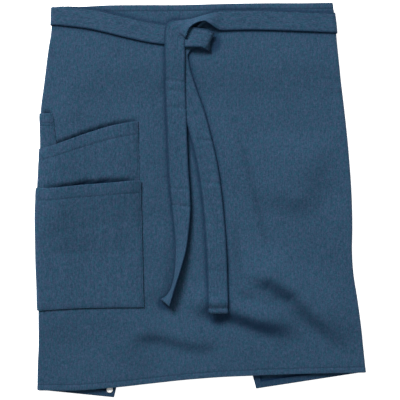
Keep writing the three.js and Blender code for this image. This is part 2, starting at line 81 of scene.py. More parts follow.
# %% Write node graphs as formulas
class Value:
    """An output of a node graph. Sums and products of it make new nodes."""

    def __init__(self, graph, socket):
        self.graph = graph
        self.socket = socket

    def __add__(self, other):
        return self.graph.math("ADD", self, other)

    def __radd__(self, other):
        return self.graph.math("ADD", other, self)

    def __sub__(self, other):
        return self.graph.math("SUBTRACT", self, other)

    def __rsub__(self, other):
        return self.graph.math("SUBTRACT", other, self)

    def __mul__(self, other):
        return self.graph.math("MULTIPLY", self, other)

    def __rmul__(self, other):
        return self.graph.math("MULTIPLY", other, self)


class Graph:
    """The node graph of one material, with its Principled node."""

    def __init__(self, name):
        self.material = bpy.data.materials.new(name)
        self.material.use_nodes = True
        self.tree = self.material.node_tree
        self.shader = self.tree.nodes["Principled BSDF"]

    def fill(self, socket, value):
        if isinstance(value, Value):
            self.tree.links.new(value.socket, socket)
        else:
            socket.default_value = value

    def node(self, kind, inputs=None, output=0, **settings):
        made = self.tree.nodes.new(kind)
        for key, value in settings.items():
            setattr(made, key, value)
        for key, value in (inputs or {}).items():
            self.fill(made.inputs[key], value)
        return Value(self, made.outputs[output])

    def math(self, operation, a, b=0.0):
        return self.node("ShaderNodeMath", {0: a, 1: b}, operation=operation)

    def soft_step(self, value, start, end):
        inputs = {"Value": value, "From Min": start, "From Max": end}
        return self.node("ShaderNodeMapRange", inputs, interpolation_type="SMOOTHSTEP")

    def mix(self, factor, a, b):
        inputs = {"Factor": factor, 6: a, 7: b}
        return self.node("ShaderNodeMix", inputs, 2, data_type="RGBA")

    def stretched(self, place, scale):
        return self.node("ShaderNodeVectorMath", {0: place, 1: scale}, operation="MULTIPLY")
    def moved(self, place, by):
        return self.node("ShaderNodeVectorMath", {0: place, 1: by}, operation="ADD")

    def part(self, place, axis):
        return self.node("ShaderNodeSeparateXYZ", {0: place}, output=axis)

    def bump(self, height, strength, distance, below=None):
        inputs = {"Strength": strength, "Distance": distance, "Height": height}
        if below is not None:
            inputs["Normal"] = below
        return self.node("ShaderNodeBump", inputs)

    def cloudy(self, place, scale, detail=2.0, roughness=0.5):
        inputs = {"Vector": place, "Scale": scale, "Detail": detail, "Roughness": roughness}
        return self.node("ShaderNodeTexNoise", inputs)

    def finish(self, normal=None, **values):
        for key, value in values.items():
            self.fill(self.shader.inputs[key.replace("_", " ")], value)
        if normal is not None:
            self.fill(self.shader.inputs["Normal"], normal)
        return self.material


# %% [markdown]
# ### Heathered twill
#
# Heathered cloth is woven from yarn that was spun of fibres in two blues. The blend changes along each
# warp thread, which gives fine lengthwise streaks, and the twill adds narrow diagonal ribs. A picture of
# cloth would repeat and blur, so noise that is stretched along the threads makes the streaks here. It
# reads a UV map in metres that runs with the threads, so the weave turns and bends with every fold.
#
# Worn cloth is palest where it rubs. An attribute called shade holds painted shade: it mixes the colour
# towards a deep navy where creases, ties, seams and pocket mouths would lie in shade, and on the reverse.

# %% Colours and yarn
DEEP = (0.0065, 0.0235, 0.051, 1.0)
TEAL = (0.022, 0.084, 0.13, 1.0)
SLATE = (0.052, 0.083, 0.152, 1.0)
# painted shade: the deep navy that the shade attribute mixes into the cloth's colour
PAINTED_SHADE_BLUE = (0.0004, 0.011, 0.037, 1.0)
SHEEN = (0.35, 0.6, 0.9, 1.0)
TWILL_PITCH = 0.0011

# stretch across and along the threads, scale, detail, roughness
YARN = {
    "slubs": ((1.0, 0.3, 1.0), 760.0, 2.0, 0.6),
    "long slubs": ((1.0, 0.07, 1.0), 520.0, 2.0, 0.6),
    "picks": ((0.25, 1.0, 1.0), 800.0, 2.0, 0.6),
    "specks": ((1.0, 1.0, 1.0), 900.0, 2.0, 0.7),
    "hue": ((1.0, 0.35, 1.0), 330.0, 3.0, 0.65),
    "worn": ((1.0, 1.0, 1.0), 12.0, 3.0, 0.55),
    "dents": ((1.0, 1.0, 1.0), 48.0, 4.0, 0.55),
}
# how much each of them pales the cloth
PALING = {"slubs": 0.8, "long slubs": 0.35, "picks": 0.5, "specks": 0.9, "worn": 0.15}
RIDGE_PALING = 0.04
DARK_SHARE = 0.85
print(len(YARN), "patterns make the yarn")


# %% Heathered twill
def heathered(name, seed):
    graph = Graph(name)
    threads = graph.node("ShaderNodeUVMap", uv_map="threads")
    place = graph.moved(threads, (seed, seed * 0.7, seed))
    yarn = {}
    for key, (stretch, *noise) in YARN.items():
        yarn[key] = graph.cloudy(graph.stretched(place, stretch), *noise)
    diagonal = graph.part(threads, 0) + graph.part(threads, 1)
    ridge = graph.math("SINE", diagonal * (2 * math.pi / TWILL_PITCH))
    pale = ridge * RIDGE_PALING - DARK_SHARE
    for key, weight in PALING.items():
        pale = pale + yarn[key] * weight
    thread = graph.mix(graph.soft_step(yarn["hue"], 0.36, 0.64), TEAL, SLATE)
    colour = graph.mix(graph.soft_step(pale, 0.05, 0.95), DEEP, thread)
    # painted shade, read from the mesh's shade attribute
    shade = graph.node("ShaderNodeAttribute", output=2, attribute_name="shade")
    weave = graph.bump(ridge * 0.5 + yarn["slubs"] * 0.8, 0.35, 0.0002)
    print(name, "has", len(graph.tree.nodes), "nodes")
    return graph.finish(
        normal=graph.bump(yarn["dents"], 0.6, 0.0022, weave),
        Base_Color=graph.mix(shade, colour, PAINTED_SHADE_BLUE),
        Roughness=0.8 + yarn["specks"] * 0.15,
        Sheen_Weight=0.08,
        Sheen_Roughness=0.5,
        Sheen_Tint=SHEEN,
        Specular_IOR_Level=0.1,
    )


body_cloth = heathered("body_cloth", 0.0)
pocket_cloth = heathered("pocket_cloth", 0.37)
tie_cloth = heathered("tie_cloth", 0.83)

# %% [markdown]
# ## The shape of the cloth
#
# Sizes are in millimetres, as a sewing pattern gives them. X runs across the front from its middle line,
# Y is zero at the waist line and negative down to the hem, and Z is up. They repeat the model's own
# sizes, so that the detailed cloth lies where the plain one did.

# %% Sizes of the apron
MM = 0.001
FAR = 1e9
CLOTH = 1.0
CLEARANCE = 0.35
LOFT = 5.2  # how far each fold stands open
SAG = 4.5  # how far the front sinks between the wings
FRONT_LENGTH = 575.0
HEM_WIDTH = 494.0
WING_AT_HEM = {-1: 115.0, 1: 165.0}
# fall of a wing's waist edge and of its hem, away from the fold
WING_TILT = {-1: (0.07, 0.1), 1: (0.2, 0.154)}

# %% Sizes of the pockets
POCKET_WIDTH = 157.0
POCKET_WRAP = 30.0
POCKET_BOTTOM = 457.0
LOWER_DEPTH = 191.0
SLANT_DEPTH = 281.0
SLANT_HEM_RISE = 6.0
SLANT_WIDTH = 149.0
PEN_MOUTH = 166.0
PEN_DEPTH = 138.0
PEN_WIDTH = (17.5, 25.0)
PEN_WRAP = 15.0
GAPE = {"pen": 1.2, "slanted": 6.0, "lower": 7.2}

# %% Sizes of the ties
TIE_WIDTH = 30.5
TIE_THICKNESS = 1.6
TIE_ROOT = 21.0
TIE_AIR = 0.5  # between the front and a tie that lies loosely on it
TIE_ROW = 0.09  # how far down the wings the ties are sewn on, in front lengths
TIE_BAND_END = 0.15  # the ties lie on the front down to here

# %% Layers
LAYER = CLOTH + CLEARANCE
PLY = TIE_THICKNESS + CLEARANCE
LIFT = max(3 * LAYER, 2 * PLY)
LIFT_RUN = 62.0  # the front comes down over this length beside a stack of layers
FOLD_RADIUS = (CLOTH + LOFT) / 2
QUARTER = FOLD_RADIUS * math.pi / 2
SHEET = 0.8  # the cloth as it shows, a little thinner than in the model
HEM = 9.0  # from the edge to its row of stitches
ORIGIN = np.array((-0.121, 296.957, 0.0039))  # the apron's own origin, seen from the frame's
print("the front stands", round(1.5 * CLOTH + LOFT + LIFT, 2), "mm high over a full stack")

# %% [markdown]
# Short tables hold what no formula gives: the two fold lines, the two long edges and the wing widths,
# each at shares of the way down or across.

# %% Tables
# down, left fold, right fold
FOLD_LINES = np.array([
    (0.0, 0.45, 0.402), (0.06, 0.453, 0.41), (0.11, 0.462, 0.415), (0.2, 0.475, 0.426),
    (0.27, 0.485, 0.436), (0.36, 0.484, 0.447), (0.43, 0.488, 0.454), (0.49, 0.492, 0.459),
    (0.55, 0.496, 0.462), (0.61, 0.497, 0.463), (0.67, 0.496, 0.462), (0.73, 0.493, 0.466),
    (0.8, 0.492, 0.478), (0.88, 0.493, 0.49), (0.94, 0.496, 0.497), (1.0, 0.497, 0.504),
])  # fmt: skip
# across, drop of the waist edge, drop of the hem
EDGES = np.array([
    (0.0, 0.013, 1.013), (0.12, 0.01, 1.013), (0.2, 0.007, 1.008), (0.33, 0.006, 0.998),
    (0.45, 0.006, 0.987), (0.57, 0.004, 0.979), (0.69, 0.002, 0.973), (0.79, 0.001, 0.97),
    (0.88, 0.001, 0.968), (1.0, 0.0, 0.966),
])  # fmt: skip
# down, left wing, right wing
WING_WIDTHS = np.array([(0.0, 1.41, 1.345), (0.5, 1.29, 1.19), (0.85, 1.16, 1.07), (1.0, 1.0, 1.0)])
# across, drop of the slanted mouth, the lower mouth and the bottom
POCKET_EDGES = np.array([
    (0.0, 0.156, 0.063, 0.026), (0.17, 0.129, 0.061, 0.015), (0.41, 0.078, 0.039, 0.005),
    (0.65, 0.036, 0.024, 0.002), (0.83, 0.014, 0.01, 0.0), (1.0, 0.0, 0.0, 0.0),
])  # fmt: skip
print(len(FOLD_LINES), "rows along the folds and", len(EDGES), "along the waist and the hem")

# %% [markdown]
# Each tie's route is a list of places. BANDS hold the stretches along the waist, up to the knot. TAILS go
# on through the knot and down the front, where the tie may lie on other plies, roll on to its edge or be
# squeezed narrower.

# %% Tie routes
# reach in hem widths, down in front lengths
BANDS = {
    -1: np.array([
        (-0.46, 0.122), (-0.2, 0.066), (-0.05, 0.0375), (0.0, 0.0325), (0.06, 0.036), (0.133, 0.0445),
        (0.242, 0.066), (0.306, 0.0775), (0.35, 0.083),
    ]),
    1: np.array([
        (-0.545, 0.059), (-0.3, 0.058), (-0.05, 0.054), (0.0, 0.053), (0.08, 0.05), (0.2, 0.0465),
        (0.28, 0.0455), (0.34, 0.047),
    ]),
}  # fmt: skip
# across, down, plies underneath, roll in degrees, width share
TAILS = {
    -1: np.array([
        (-0.07014, 0.08739, 0.1, 0, 1), (-0.05314, 0.09, 0.9, 0, 1), (-0.04099, 0.09131, 2.2, 0, 1),
        (-0.02429, 0.09261, 2.9, 0, 0.97), (-0.006073, 0.09391, 3.2, 0, 0.94),
        (0.01063, 0.09548, 3.1, 0, 0.93), (0.02368, 0.1004, 2.6, 0, 0.93),
        (0.02915, 0.1028, 1.6, 0, 0.93), (0.02399, 0.103, 0.6, 0, 0.92),
        (0.007591, 0.1023, 0.1, 0, 0.85), (-0.01215, 0.1036, 0, 0, 0.65),
        (-0.03492, 0.1119, 0, 0, 0.5), (-0.05466, 0.1315, 0, 0, 0.6), (-0.05982, 0.1602, 0, 0, 0.85),
        (-0.05132, 0.2019, 0, 0, 0.97), (-0.03796, 0.24, 0.6, 0, 1), (-0.01913, 0.2849, 0.6, 0, 1),
        (-0.003036, 0.335, 0.6, 0, 1), (0.02004, 0.42, 0.6, 0, 1), (0.03796, 0.5301, 0.6, 0, 1),
        (0.04798, 0.6402, 0.6, 0, 1), (0.05192, 0.7445, 0.6, 0, 1),
        (0.05314, 0.7824, 1.3, 0, 1), (0.05314, 0.7962, 0, 0, 1),
        (0.05314, 0.8032, 1, 0, 1), (0.05314, 0.8103, 1.5, 0, 1),
    ]),
    1: np.array([
        (0.05921, 0.04644, 0.1, 0, 1), (0.04403, 0.04487, 0.2, 8, 0.84),
        (0.02885, 0.0433, 0.3, 20, 0.62), (0.01215, 0.04252, 0.5, 34, 0.42),
        (-0.007591, 0.0467, 0.7, 38, 0.38), (-0.02581, 0.05244, 0.9, 34, 0.44),
        (-0.04251, 0.05896, 1.2, 24, 0.62), (-0.05617, 0.06678, 1.6, 12, 0.92),
        (-0.06954, 0.07617, 2, 3, 1.3), (-0.07652, 0.09026, 2, 0, 1.08), (-0.07773, 0.1054, 2, 0, 1),
        (-0.07743, 0.1237, 1.9, 0, 1), (-0.07713, 0.1497, 1.8, 0, 1), (-0.07713, 0.2045, 1.7, 0, 1),
        (-0.07348, 0.2901, 2, 0, 1), (-0.06802, 0.42, 1.7, 0, 1), (-0.06255, 0.4889, 1.2, 4, 1),
        (-0.0583, 0.54, 0.5, 9, 0.94), (-0.05769, 0.5901, 0.2, 14, 0.78),
        (-0.05921, 0.6402, 0.1, 24, 0.6), (-0.06468, 0.6767, 0.1, 42, 0.5),
        (-0.07439, 0.72, 0.5, 62, 0.4), (-0.08532, 0.7497, 0.6, 66, 0.4),
        (-0.09565, 0.7693, 0.6, 45, 0.45), (-0.1078, 0.7842, 0.7, 18, 0.62),
    ]),
}  # fmt: skip
print(len(TAILS[-1]) + len(TAILS[1]), "places along the tails")

# %% [markdown]
# Straight lines between the rows of a table would leave corners in the cloth. Reading it along a smooth
# curve that passes through every row needs few rows and leaves none.


# %% Read a table smoothly
def ease(start, end, value):
    t = np.clip((value - start) / (end - start), 0, 1)
    return t * t * (3 - 2 * t)


def lerp(a, b, t):
    return a + (b - a) * t


def bell(value, centre, width):
    """One at the centre, fading on both sides."""
    return np.exp(-(((value - centre) / width) ** 2))


def read(table, column, at):
    """The column's value where the first column is `at`, on a smooth curve through the rows."""
    key, value = table[:, 0], table[:, column]
    slope = np.empty_like(value)
    slope[1:-1] = (value[2:] - value[:-2]) / (key[2:] - key[:-2])
    slope[0] = (value[1] - value[0]) / (key[1] - key[0])
    slope[-1] = (value[-1] - value[-2]) / (key[-1] - key[-2])
    i = np.clip(np.searchsorted(key, at, side="right") - 1, 0, len(key) - 2)
    span = key[i + 1] - key[i]
    t = np.clip((at - key[i]) / span, 0, 1)
    t2, t3 = t * t, t * t * t
    return (
        (2 * t3 - 3 * t2 + 1) * value[i]
        + (t3 - 2 * t2 + t) * span * slope[i]
        + (3 * t2 - 2 * t3) * value[i + 1]
        + (t3 - t2) * span * slope[i + 1]
    )


# %% [markdown]
# ### Creases
#
# Cloth that has been folded and carried keeps soft creases. They could be sculpted by hand, but then a
# change of the cloth's size would lose them. Here each crease runs along a few points, as a low ridge
# that is gentle on its upper side and steep on its lower one, so that its lower side lies in shade.

# %% Table of creases
# points (across in hem widths, down in front lengths), rise, groove, gentle width, steep width
CREASES = [
    (((0.207, 0.7), (0.16, 0.552), (0.125, 0.438), (0.058, 0.26)), 3.2, 1.4, 34, 10),
    (((0.09, 0.693), (0.214, 0.714), (0.293, 0.75), (0.354, 0.802), (0.49, 0.915)), 11.0, 3.4, 36, 20),
    (((-0.06, 0.772), (0.06, 0.785), (0.138, 0.805), (0.34, 0.858)), 9.4, 2.0, 28, 18),
    (((-0.24, 0.86), (-0.12, 0.862), (0.0, 0.882), (0.09, 0.872)), 3.6, 1.0, 28, 14),
    (((0.269, 0.56), (0.311, 0.44), (0.345, 0.33)), 4.6, 1.2, 60, 30),
    (((0.11, 0.735), (0.18, 0.762), (0.235, 0.79)), 3.0, 1.0, 14, 9),
    (((-0.376, 0.31), (-0.405, 0.17)), 1.0, 0.3, 18, 12),
    (((0.415, 0.215), (0.432, 0.235)), 1.2, 0.5, 10, 6),
    (((-0.135, 0.8), (-0.112, 0.69), (-0.118, 0.56)), 3.0, 0.8, 26, 14),
    (((0.12, 0.8), (0.105, 0.72), (0.09, 0.6), (0.08, 0.5)), 2.6, 0.8, 30, 10),
]
CREASE_STARTS, CREASE_ENDS = 0.26, 0.6
CREASE_WANDERS = 1.6
DEEPEST_DIP = 2.8
print(len(CREASES), "creases")


# %% Height of the creases
def swells(x, y):
    """Low uneven swells, which cloth keeps however flat it is laid."""
    along = np.sin(x / 37 + 1.7 * np.sin(y / 53))
    across = np.sin(y / 41 + 1.3 * np.sin(x / 47 + 2))
    return 0.22 * (along + across + np.sin((x + y) / 29))


def beside_path(x, y, path):
    """How far points lie beside a path, above zero on its upper side, and at which share of its length."""
    x, y = np.broadcast_arrays(x, y)
    lengths = np.hypot(*(path[1:] - path[:-1]).T)
    away = np.full(x.shape, FAR)
    share = np.zeros(x.shape)
    for k, (a, b) in enumerate(zip(path[:-1], path[1:])):
        along = b - a
        t = np.clip(((x - a[0]) * along[0] + (y - a[1]) * along[1]) / (along @ along), 0, 1)
        dx, dy = x - a[0] - t * along[0], y - a[1] - t * along[1]
        distance = np.hypot(dx, dy) * np.where(along[0] * dy - along[1] * dx > 0, 1, -1)
        nearer = np.abs(distance) < np.abs(away)
        away = np.where(nearer, distance, away)
        share = np.where(nearer, (lengths[:k].sum() + t * lengths[k]) / lengths.sum(), share)
    return away, share


def crease_height(x, y):
    total = swells(x, y)
    for points, rise, groove, gentle, steep in CREASES:
        path = np.array([(a * HEM_WIDTH, -d * FRONT_LENGTH) for a, d in points])
        away, share = beside_path(x, y, path)
        away = away + CREASE_WANDERS * np.sin(x / 19 + y / 31)
        ends = ease(0, CREASE_STARTS, share) * (1 - ease(CREASE_ENDS, 1, share))
        ridge = rise * bell(away, 0, np.where(away > 0, gentle, steep))
        dip = groove * bell(away, -1.5 * steep, 0.8 * steep)
        total = total + (ridge - dip) * ends
    return np.where(total < 0, -DEEPEST_DIP * np.tanh(-total / DEEPEST_DIP), total)


# %% [markdown]
# ### Fold lines, rows and heights
#
# The cloth is one sheet in three parts: the left wing, the front and the right wing. A row runs across
# all three at the same share of the way down. The front lies on the wings and on what passes under them,
# and sinks a little between them.


# %% Fold lines and rows
def fold_x(side, down):
    return side * HEM_WIDTH * read(FOLD_LINES, 1 if side < 0 else 2, down)


def wing_width(side, down):
    return WING_AT_HEM[side] * read(WING_WIDTHS, 1 if side < 0 else 2, down)


def row_y(x, down):
    left = fold_x(-1, down)
    across = np.clip((x - left) / (fold_x(1, down) - left), 0, 1)
    return -FRONT_LENGTH * lerp(read(EDGES, 1, across), read(EDGES, 2, across), down)


def row_at(x_of, y):
    down = -y / FRONT_LENGTH
    for _ in range(6):
        down = np.clip(down + (row_y(x_of(down), down) - y) / FRONT_LENGTH, 0, 1)
    return down


# %% Height of the front
APART = (0.08, 0.36)  # in hem widths: the front sinks between wings that lie this far apart
SAG_RUN = 0.12 * HEM_WIDTH
LOWEST = 0.6  # the front never sinks below this
SETTLES = 2.0  # and eases towards it from here


def stack_lift(from_left, down):
    """How far the ties and the pockets' wraps under the front lift it."""
    waist = 1 - ease(TIE_BAND_END, TIE_BAND_END + LIFT_RUN / FRONT_LENGTH, down)
    bottom = (POCKET_BOTTOM + 2 * CLOTH) / FRONT_LENGTH
    above = 1 - ease(bottom, bottom + LIFT_RUN / FRONT_LENGTH, down)
    wraps = above * (1 - ease(POCKET_WRAP + 2 * CLOTH, POCKET_WRAP + LIFT_RUN, from_left))
    return LIFT * (1 - (1 - waist) * (1 - wraps))


def sag_depth(x, down):
    left = fold_x(-1, down) + wing_width(-1, down)
    right = fold_x(1, down) - wing_width(1, down)
    apart = ease(*APART, (right - left) / HEM_WIDTH)
    return SAG * apart * ease(left, left + SAG_RUN, x) * (1 - ease(right - SAG_RUN, right, x))


def front_height(x, down):
    lift = stack_lift(x - fold_x(-1, down), down)
    height = 1.5 * CLOTH + LOFT + lift - sag_depth(x, down) + crease_height(x, row_y(x, down))
    room = SETTLES - LOWEST
    settled = LOWEST + room * np.exp(np.minimum(height - SETTLES, 0) / room)
    return np.where(height < SETTLES, settled, height)


# %% Points of the cloth
def cloth_point(side, reach, down):
    """A point of the cloth's middle. Reach runs from the fold's outer line, on to the front above zero."""
    reach, down = np.broadcast_arrays(np.asarray(reach, float), np.asarray(down, float))
    turn = np.clip(reach / QUARTER, -1, 1) * math.pi / 2
    inset = FOLD_RADIUS * (1 - np.cos(turn)) + np.maximum(np.abs(reach) - QUARTER, 0)
    fold = fold_x(side, down)
    x = fold - side * inset
    lower = CLOTH / 2 + stack_lift(inset if side < 0 else np.full(inset.shape, HEM_WIDTH), down)
    upper = front_height(x, down)
    tilt = lerp(WING_TILT[side][0], WING_TILT[side][1], down)
    y = np.where(reach > 0, row_y(x, down), row_y(fold, down) - inset * tilt)
    return np.stack([x, y, (upper + lower + np.sin(turn) * (upper - lower)) / 2], axis=-1)


def unit(vectors):
    return vectors / np.linalg.norm(vectors, axis=-1, keepdims=True)


def cloth_normal(side, reach, down):
    step, row_step = 0.5, 0.002
    row = np.clip(down, row_step, 1 - row_step)
    along = cloth_point(side, reach + step, row) - cloth_point(side, reach - step, row)
    downwards = cloth_point(side, reach, row + row_step) - cloth_point(side, reach, row - row_step)
    return unit(np.cross(along, downwards)) * side


def beside_cloth(side, reach, down, distance):
    reach, down, distance = np.broadcast_arrays(reach, down, distance)
    return cloth_point(side, reach, down) + cloth_normal(side, reach, down) * distance[..., None]


def row_near(side, reach, y):
    return row_at(lambda down: fold_x(side, down) - side * np.maximum(reach, 0), y)


# %% [markdown]
# ### A piece of cloth as a mesh
#
# A plane with a Solidify modifier would be equally thick everywhere, with square edges. Real cloth is
# thicker in its hems, dented by its stitches and rounded at its rim. So each piece is two faces, an outer
# and an inner one, that meet at the rim. The function takes the middle surface as rows and columns of
# points, and how far each face lies from it.


# %% Make a mesh
def new_object(name, points, faces, coordinates, material):
    mesh = bpy.data.meshes.new(name)
    mesh.from_pydata(((np.asarray(points) + ORIGIN) * MM).tolist(), [], faces)
    made = bpy.data.objects.new(name, mesh)
    bpy.context.collection.objects.link(made)
    layer = mesh.uv_layers.new(name="threads")
    corners = np.empty(len(mesh.loops), int)
    mesh.loops.foreach_get("vertex_index", corners)
    layer.data.foreach_set("uv", (np.asarray(coordinates)[corners] * MM).ravel())
    mesh.shade_smooth()
    mesh.materials.append(material)
    mesh.validate()
    mesh.update()
    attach(made, "root")
    return made


# %% Make a piece of cloth
FACES = {}  # the outer and inner face of each piece and their normals, for the stitches


def grid_normals(grid):
    along = np.gradient(grid, axis=1)
    across = np.gradient(grid, axis=0)
    return unit(np.cross(along, across))


def make_cloth(name, grid, threads, outer, inner, shades, material):
    rows, columns = grid.shape[:2]
    normal = grid_normals(grid)
    front = grid + normal * outer[..., None]
    back = grid - normal * inner[..., None]
    index = np.arange(rows * columns).reshape(rows, columns)
    under = index.copy()
    within = (rows - 2, columns - 2)
    under[1:-1, 1:-1] = rows * columns + np.arange(within[0] * within[1]).reshape(within)
    points = np.vstack([front.reshape(-1, 3), back[1:-1, 1:-1].reshape(-1, 3)])
    maps = np.vstack([threads.reshape(-1, 2), threads[1:-1, 1:-1].reshape(-1, 2)])
    upper = np.stack([index[:-1, :-1], index[:-1, 1:], index[1:, 1:], index[1:, :-1]], -1)
    lower = np.stack([under[1:, :-1], under[1:, 1:], under[:-1, 1:], under[:-1, :-1]], -1)
    faces = np.vstack([upper.reshape(-1, 4), lower.reshape(-1, 4)])
    made = new_object(name, points, faces.tolist(), maps, material)
    # painted shade of the outer and the inner face, stored in the shade attribute
    painted_shade = np.concatenate([shades[0].ravel(), shades[-1][1:-1, 1:-1].ravel()])
    made.data.attributes.new("shade", "FLOAT", "POINT").data.foreach_set("value", painted_shade)
    FACES[name] = (front, back, normal)
    print(name, "has", len(made.data.vertices), "points")
    return made


# %% Space the rows and round the rim
def stops(start, end, step, edge=()):
    """Places from start to end about a step apart, with closer ones at the given distances from both ends."""
    inner = max(edge, default=0)
    count = max(int(math.ceil((end - start - 2 * inner) / step)), 1)
    middle = np.linspace(start + inner, end - inner, count + 1)
    near = [start + e for e in edge if e < inner]
    far = [end - e for e in reversed(edge) if e < inner]
    return np.array([*near, *middle, *far])


def rounded(distance, radius):
    """How full the cloth is at a distance from its edge."""
    return np.sqrt(np.clip(1 - (1 - np.clip(distance / radius, 0, 1)) ** 2, 0, 1))


# %% [markdown]
# ## The apron body
#
# One cloth, cut with flared sides and hemmed all round. Its edge is turned in twice, so the hem is three
# layers thick on the inside, and its row of stitches pulls a small dent into the outside. Rows and
# columns lie close together at the hem, where the faces curve, and further apart in the plain middle.

# %% Hem
EDGE_STOPS = (0, 0.15, 0.5, 2.0, 4.5, 7.2, 8.3, HEM, 9.7, 10.6)
HEM_END = EDGE_STOPS[-1]
RIM = 0.5
STEP = 4.0
PUFF, STITCH_DENT, TURNED_IN = 0.22, 0.3, 1.0


def hem_outer(distance):
    puffed = PUFF * np.clip(1 - ((distance - HEM / 2) / (HEM / 2)) ** 2, 0, 1)
    return SHEET / 2 + puffed - STITCH_DENT * bell(distance, HEM, 0.7)


def hem_inner(distance):
    return SHEET / 2 + TURNED_IN * (1 - ease(9.9, 10.5, distance))


# %% Rows, and columns of the wings
drops = stops(0.0, FRONT_LENGTH, STEP, EDGE_STOPS)
down = (drops / FRONT_LENGTH)[:, None]
arc = np.linspace(-QUARTER, QUARTER, 10)


def wing_stops(side):
    """Distances from the wing's inner edge, at the hem's scale."""
    width = WING_AT_HEM[side]
    return np.array([*EDGE_STOPS, *np.linspace(HEM_END, width, int(width / 5))[1:]])


def wing_reaches(edges, span):
    """Reaches of the wing's columns: close to the edge they keep their distance, further in they spread."""
    share = np.clip((edges - HEM_END) / (edges[-1] - HEM_END), 0, 1)
    inset = np.where(edges < HEM_END, edges, lerp(HEM_END, span, share))
    return -QUARTER - (span - inset)


left_edges, right_edges = wing_stops(-1), wing_stops(1)
left_wing = wing_reaches(left_edges, wing_width(-1, down) - FOLD_RADIUS)
right_wing = wing_reaches(right_edges, wing_width(1, down) - FOLD_RADIUS)[:, ::-1]
fold_arc = np.broadcast_to(arc, (len(down), len(arc)))
left_reach = np.hstack([left_wing, fold_arc[:, 1:]])
right_reach = np.hstack([fold_arc[:, ::-1], right_wing[:, 1:]])
print(len(drops), "rows,", left_reach.shape[1], "columns on the left,", right_reach.shape[1], "on the right")

# %% Points of the body
FRONT_COLUMNS = 124

left = cloth_point(-1, left_reach, down)
right = cloth_point(1, right_reach, down)
across = np.linspace(0, 1, FRONT_COLUMNS + 2)[1:-1][None, :]
middle_x = lerp(left[:, -1:, 0], right[:, :1, 0], across)
middle = np.stack([middle_x, row_y(middle_x, down), front_height(middle_x, down)], -1)
body_grid = np.concatenate([left, middle, right], axis=1)

# %% Threads and hem distances of the body
unrolled = QUARTER - FOLD_RADIUS
left_flat = fold_x(-1, down) + left_reach - unrolled
right_flat = fold_x(1, down) - right_reach + unrolled
flat_x = np.hstack([left_flat, middle_x, right_flat])
body_threads = np.stack([flat_x, np.broadcast_to(-drops[:, None], flat_x.shape)], -1)

from_ends = np.minimum(drops, FRONT_LENGTH - drops)[:, None]
inland = np.full(flat_x.shape[1] - len(left_edges) - len(right_edges), FAR)
from_sides = np.concatenate([left_edges, inland, right_edges[::-1]])[None, :]
edge_distance = np.minimum(from_ends, from_sides)
full = rounded(edge_distance, RIM)
print("the flat cloth is", round(float(np.ptp(flat_x, axis=1).max())), "mm wide")

# %% [markdown]
# ### Pocket mouths
#
# A pocket mouth shows as a deep dark gap along its lip. The gap is real here: the cloth behind sinks into
# the pocket just above the lip, as a dark line painted alone would look flat as soon as the light moved.
# Painted shade is added on top of the dip, deeper for each millimetre that the cloth sinks.

# %% Pocket mouths
# painted shade for each millimetre that cloth sinks into a mouth
SUNK_SHADE = 0.22  # for each millimetre that cloth sinks into a mouth


def pocket_y(column, reach):
    drop = read(POCKET_EDGES, column, np.clip(reach / POCKET_WIDTH, 0, 1))
    top = {1: POCKET_BOTTOM - SLANT_DEPTH, 2: POCKET_BOTTOM - LOWER_DEPTH, 3: POCKET_BOTTOM}[column]
    return -(top + drop * (SLANT_DEPTH if column == 1 else LOWER_DEPTH))


def arch(share):
    """Zero at both ends of a mouth, and close to one between them."""
    return 1 - (2 * np.clip(share, 0, 1) - 1) ** 4


def mouth_dip(below_lip, share, depth, gap):
    """How far cloth sinks at a pocket mouth: steeply just above the lip, and back again down inside."""
    wide = arch(share)
    opening = gap * (0.35 + 0.65 * wide)
    sinks = ease(-opening - 2.5, -opening + 0.5, below_lip)
    return depth * wide * sinks * (1 - ease(12, 45, below_lip))


column = np.arange(flat_x.shape[1])
on_front = (column >= left_reach.shape[1]) & (column < left_reach.shape[1] + FRONT_COLUMNS)
from_fold = body_grid[..., 0] - fold_x(-1, down)
below_slanted = pocket_y(1, from_fold) - body_grid[..., 1]
below_pen = -PEN_MOUTH - body_grid[..., 1]
sunk = mouth_dip(below_slanted, from_fold / SLANT_WIDTH, 3.6, 3.0)
sunk = np.where(on_front, sunk + mouth_dip(below_pen, from_fold / PEN_WIDTH[0], 2.6, 1.4), 0)
body_grid[..., 2] -= sunk
print("the cloth sinks", round(float(sunk.max()), 1), "mm at the mouths")

# %% [markdown]
# ### Painted shade
#
# Shade is painted into the cloth's colour under the ties and beside their edges, on the side of each crease
# that faces away from the lamp, along the hem's stitches, at the turned-in hem's fold line and on the
# reverse.

# %% Painted shade under and beside the ties
# painted shade under a tie, fading out over SHOWS_BESIDE mm beside its edges
TIE_SHADE = 0.62
SHOWS_BESIDE = 4.2


def beside_band(x, y, line, halves):
    """How far points lie outside a band, given its middle line and its half widths."""
    nearest = np.full(x.shape, FAR)
    for a, b, half_a, half_b in zip(line[:-1], line[1:], halves[:-1], halves[1:]):
        along = b - a
        t = np.clip(((x - a[0]) * along[0] + (y - a[1]) * along[1]) / (along @ along), 0, 1)
        away = np.hypot(x - a[0] - t * along[0], y - a[1] - t * along[1]) - lerp(half_a, half_b, t)
        nearest = np.minimum(nearest, away)
    return nearest


def band_outline(side):
    """The middle line and the half widths of a tie along the waist."""
    band = BANDS[side]
    reach = np.linspace(QUARTER, band[-1, 0] * HEM_WIDTH, 30)
    y = -FRONT_LENGTH * read(band, 1, reach / HEM_WIDTH)
    x = fold_x(side, -y / FRONT_LENGTH) - side * (reach - QUARTER + FOLD_RADIUS)
    return np.stack([x, y], -1), np.full(len(reach), TIE_WIDTH / 2)


def tail_outline(side):
    tail = TAILS[side]
    halves = TIE_WIDTH / 2 * tail[:, 4] * np.cos(np.radians(tail[:, 3]))
    return tail[:, :2] * (HEM_WIDTH, -FRONT_LENGTH), halves


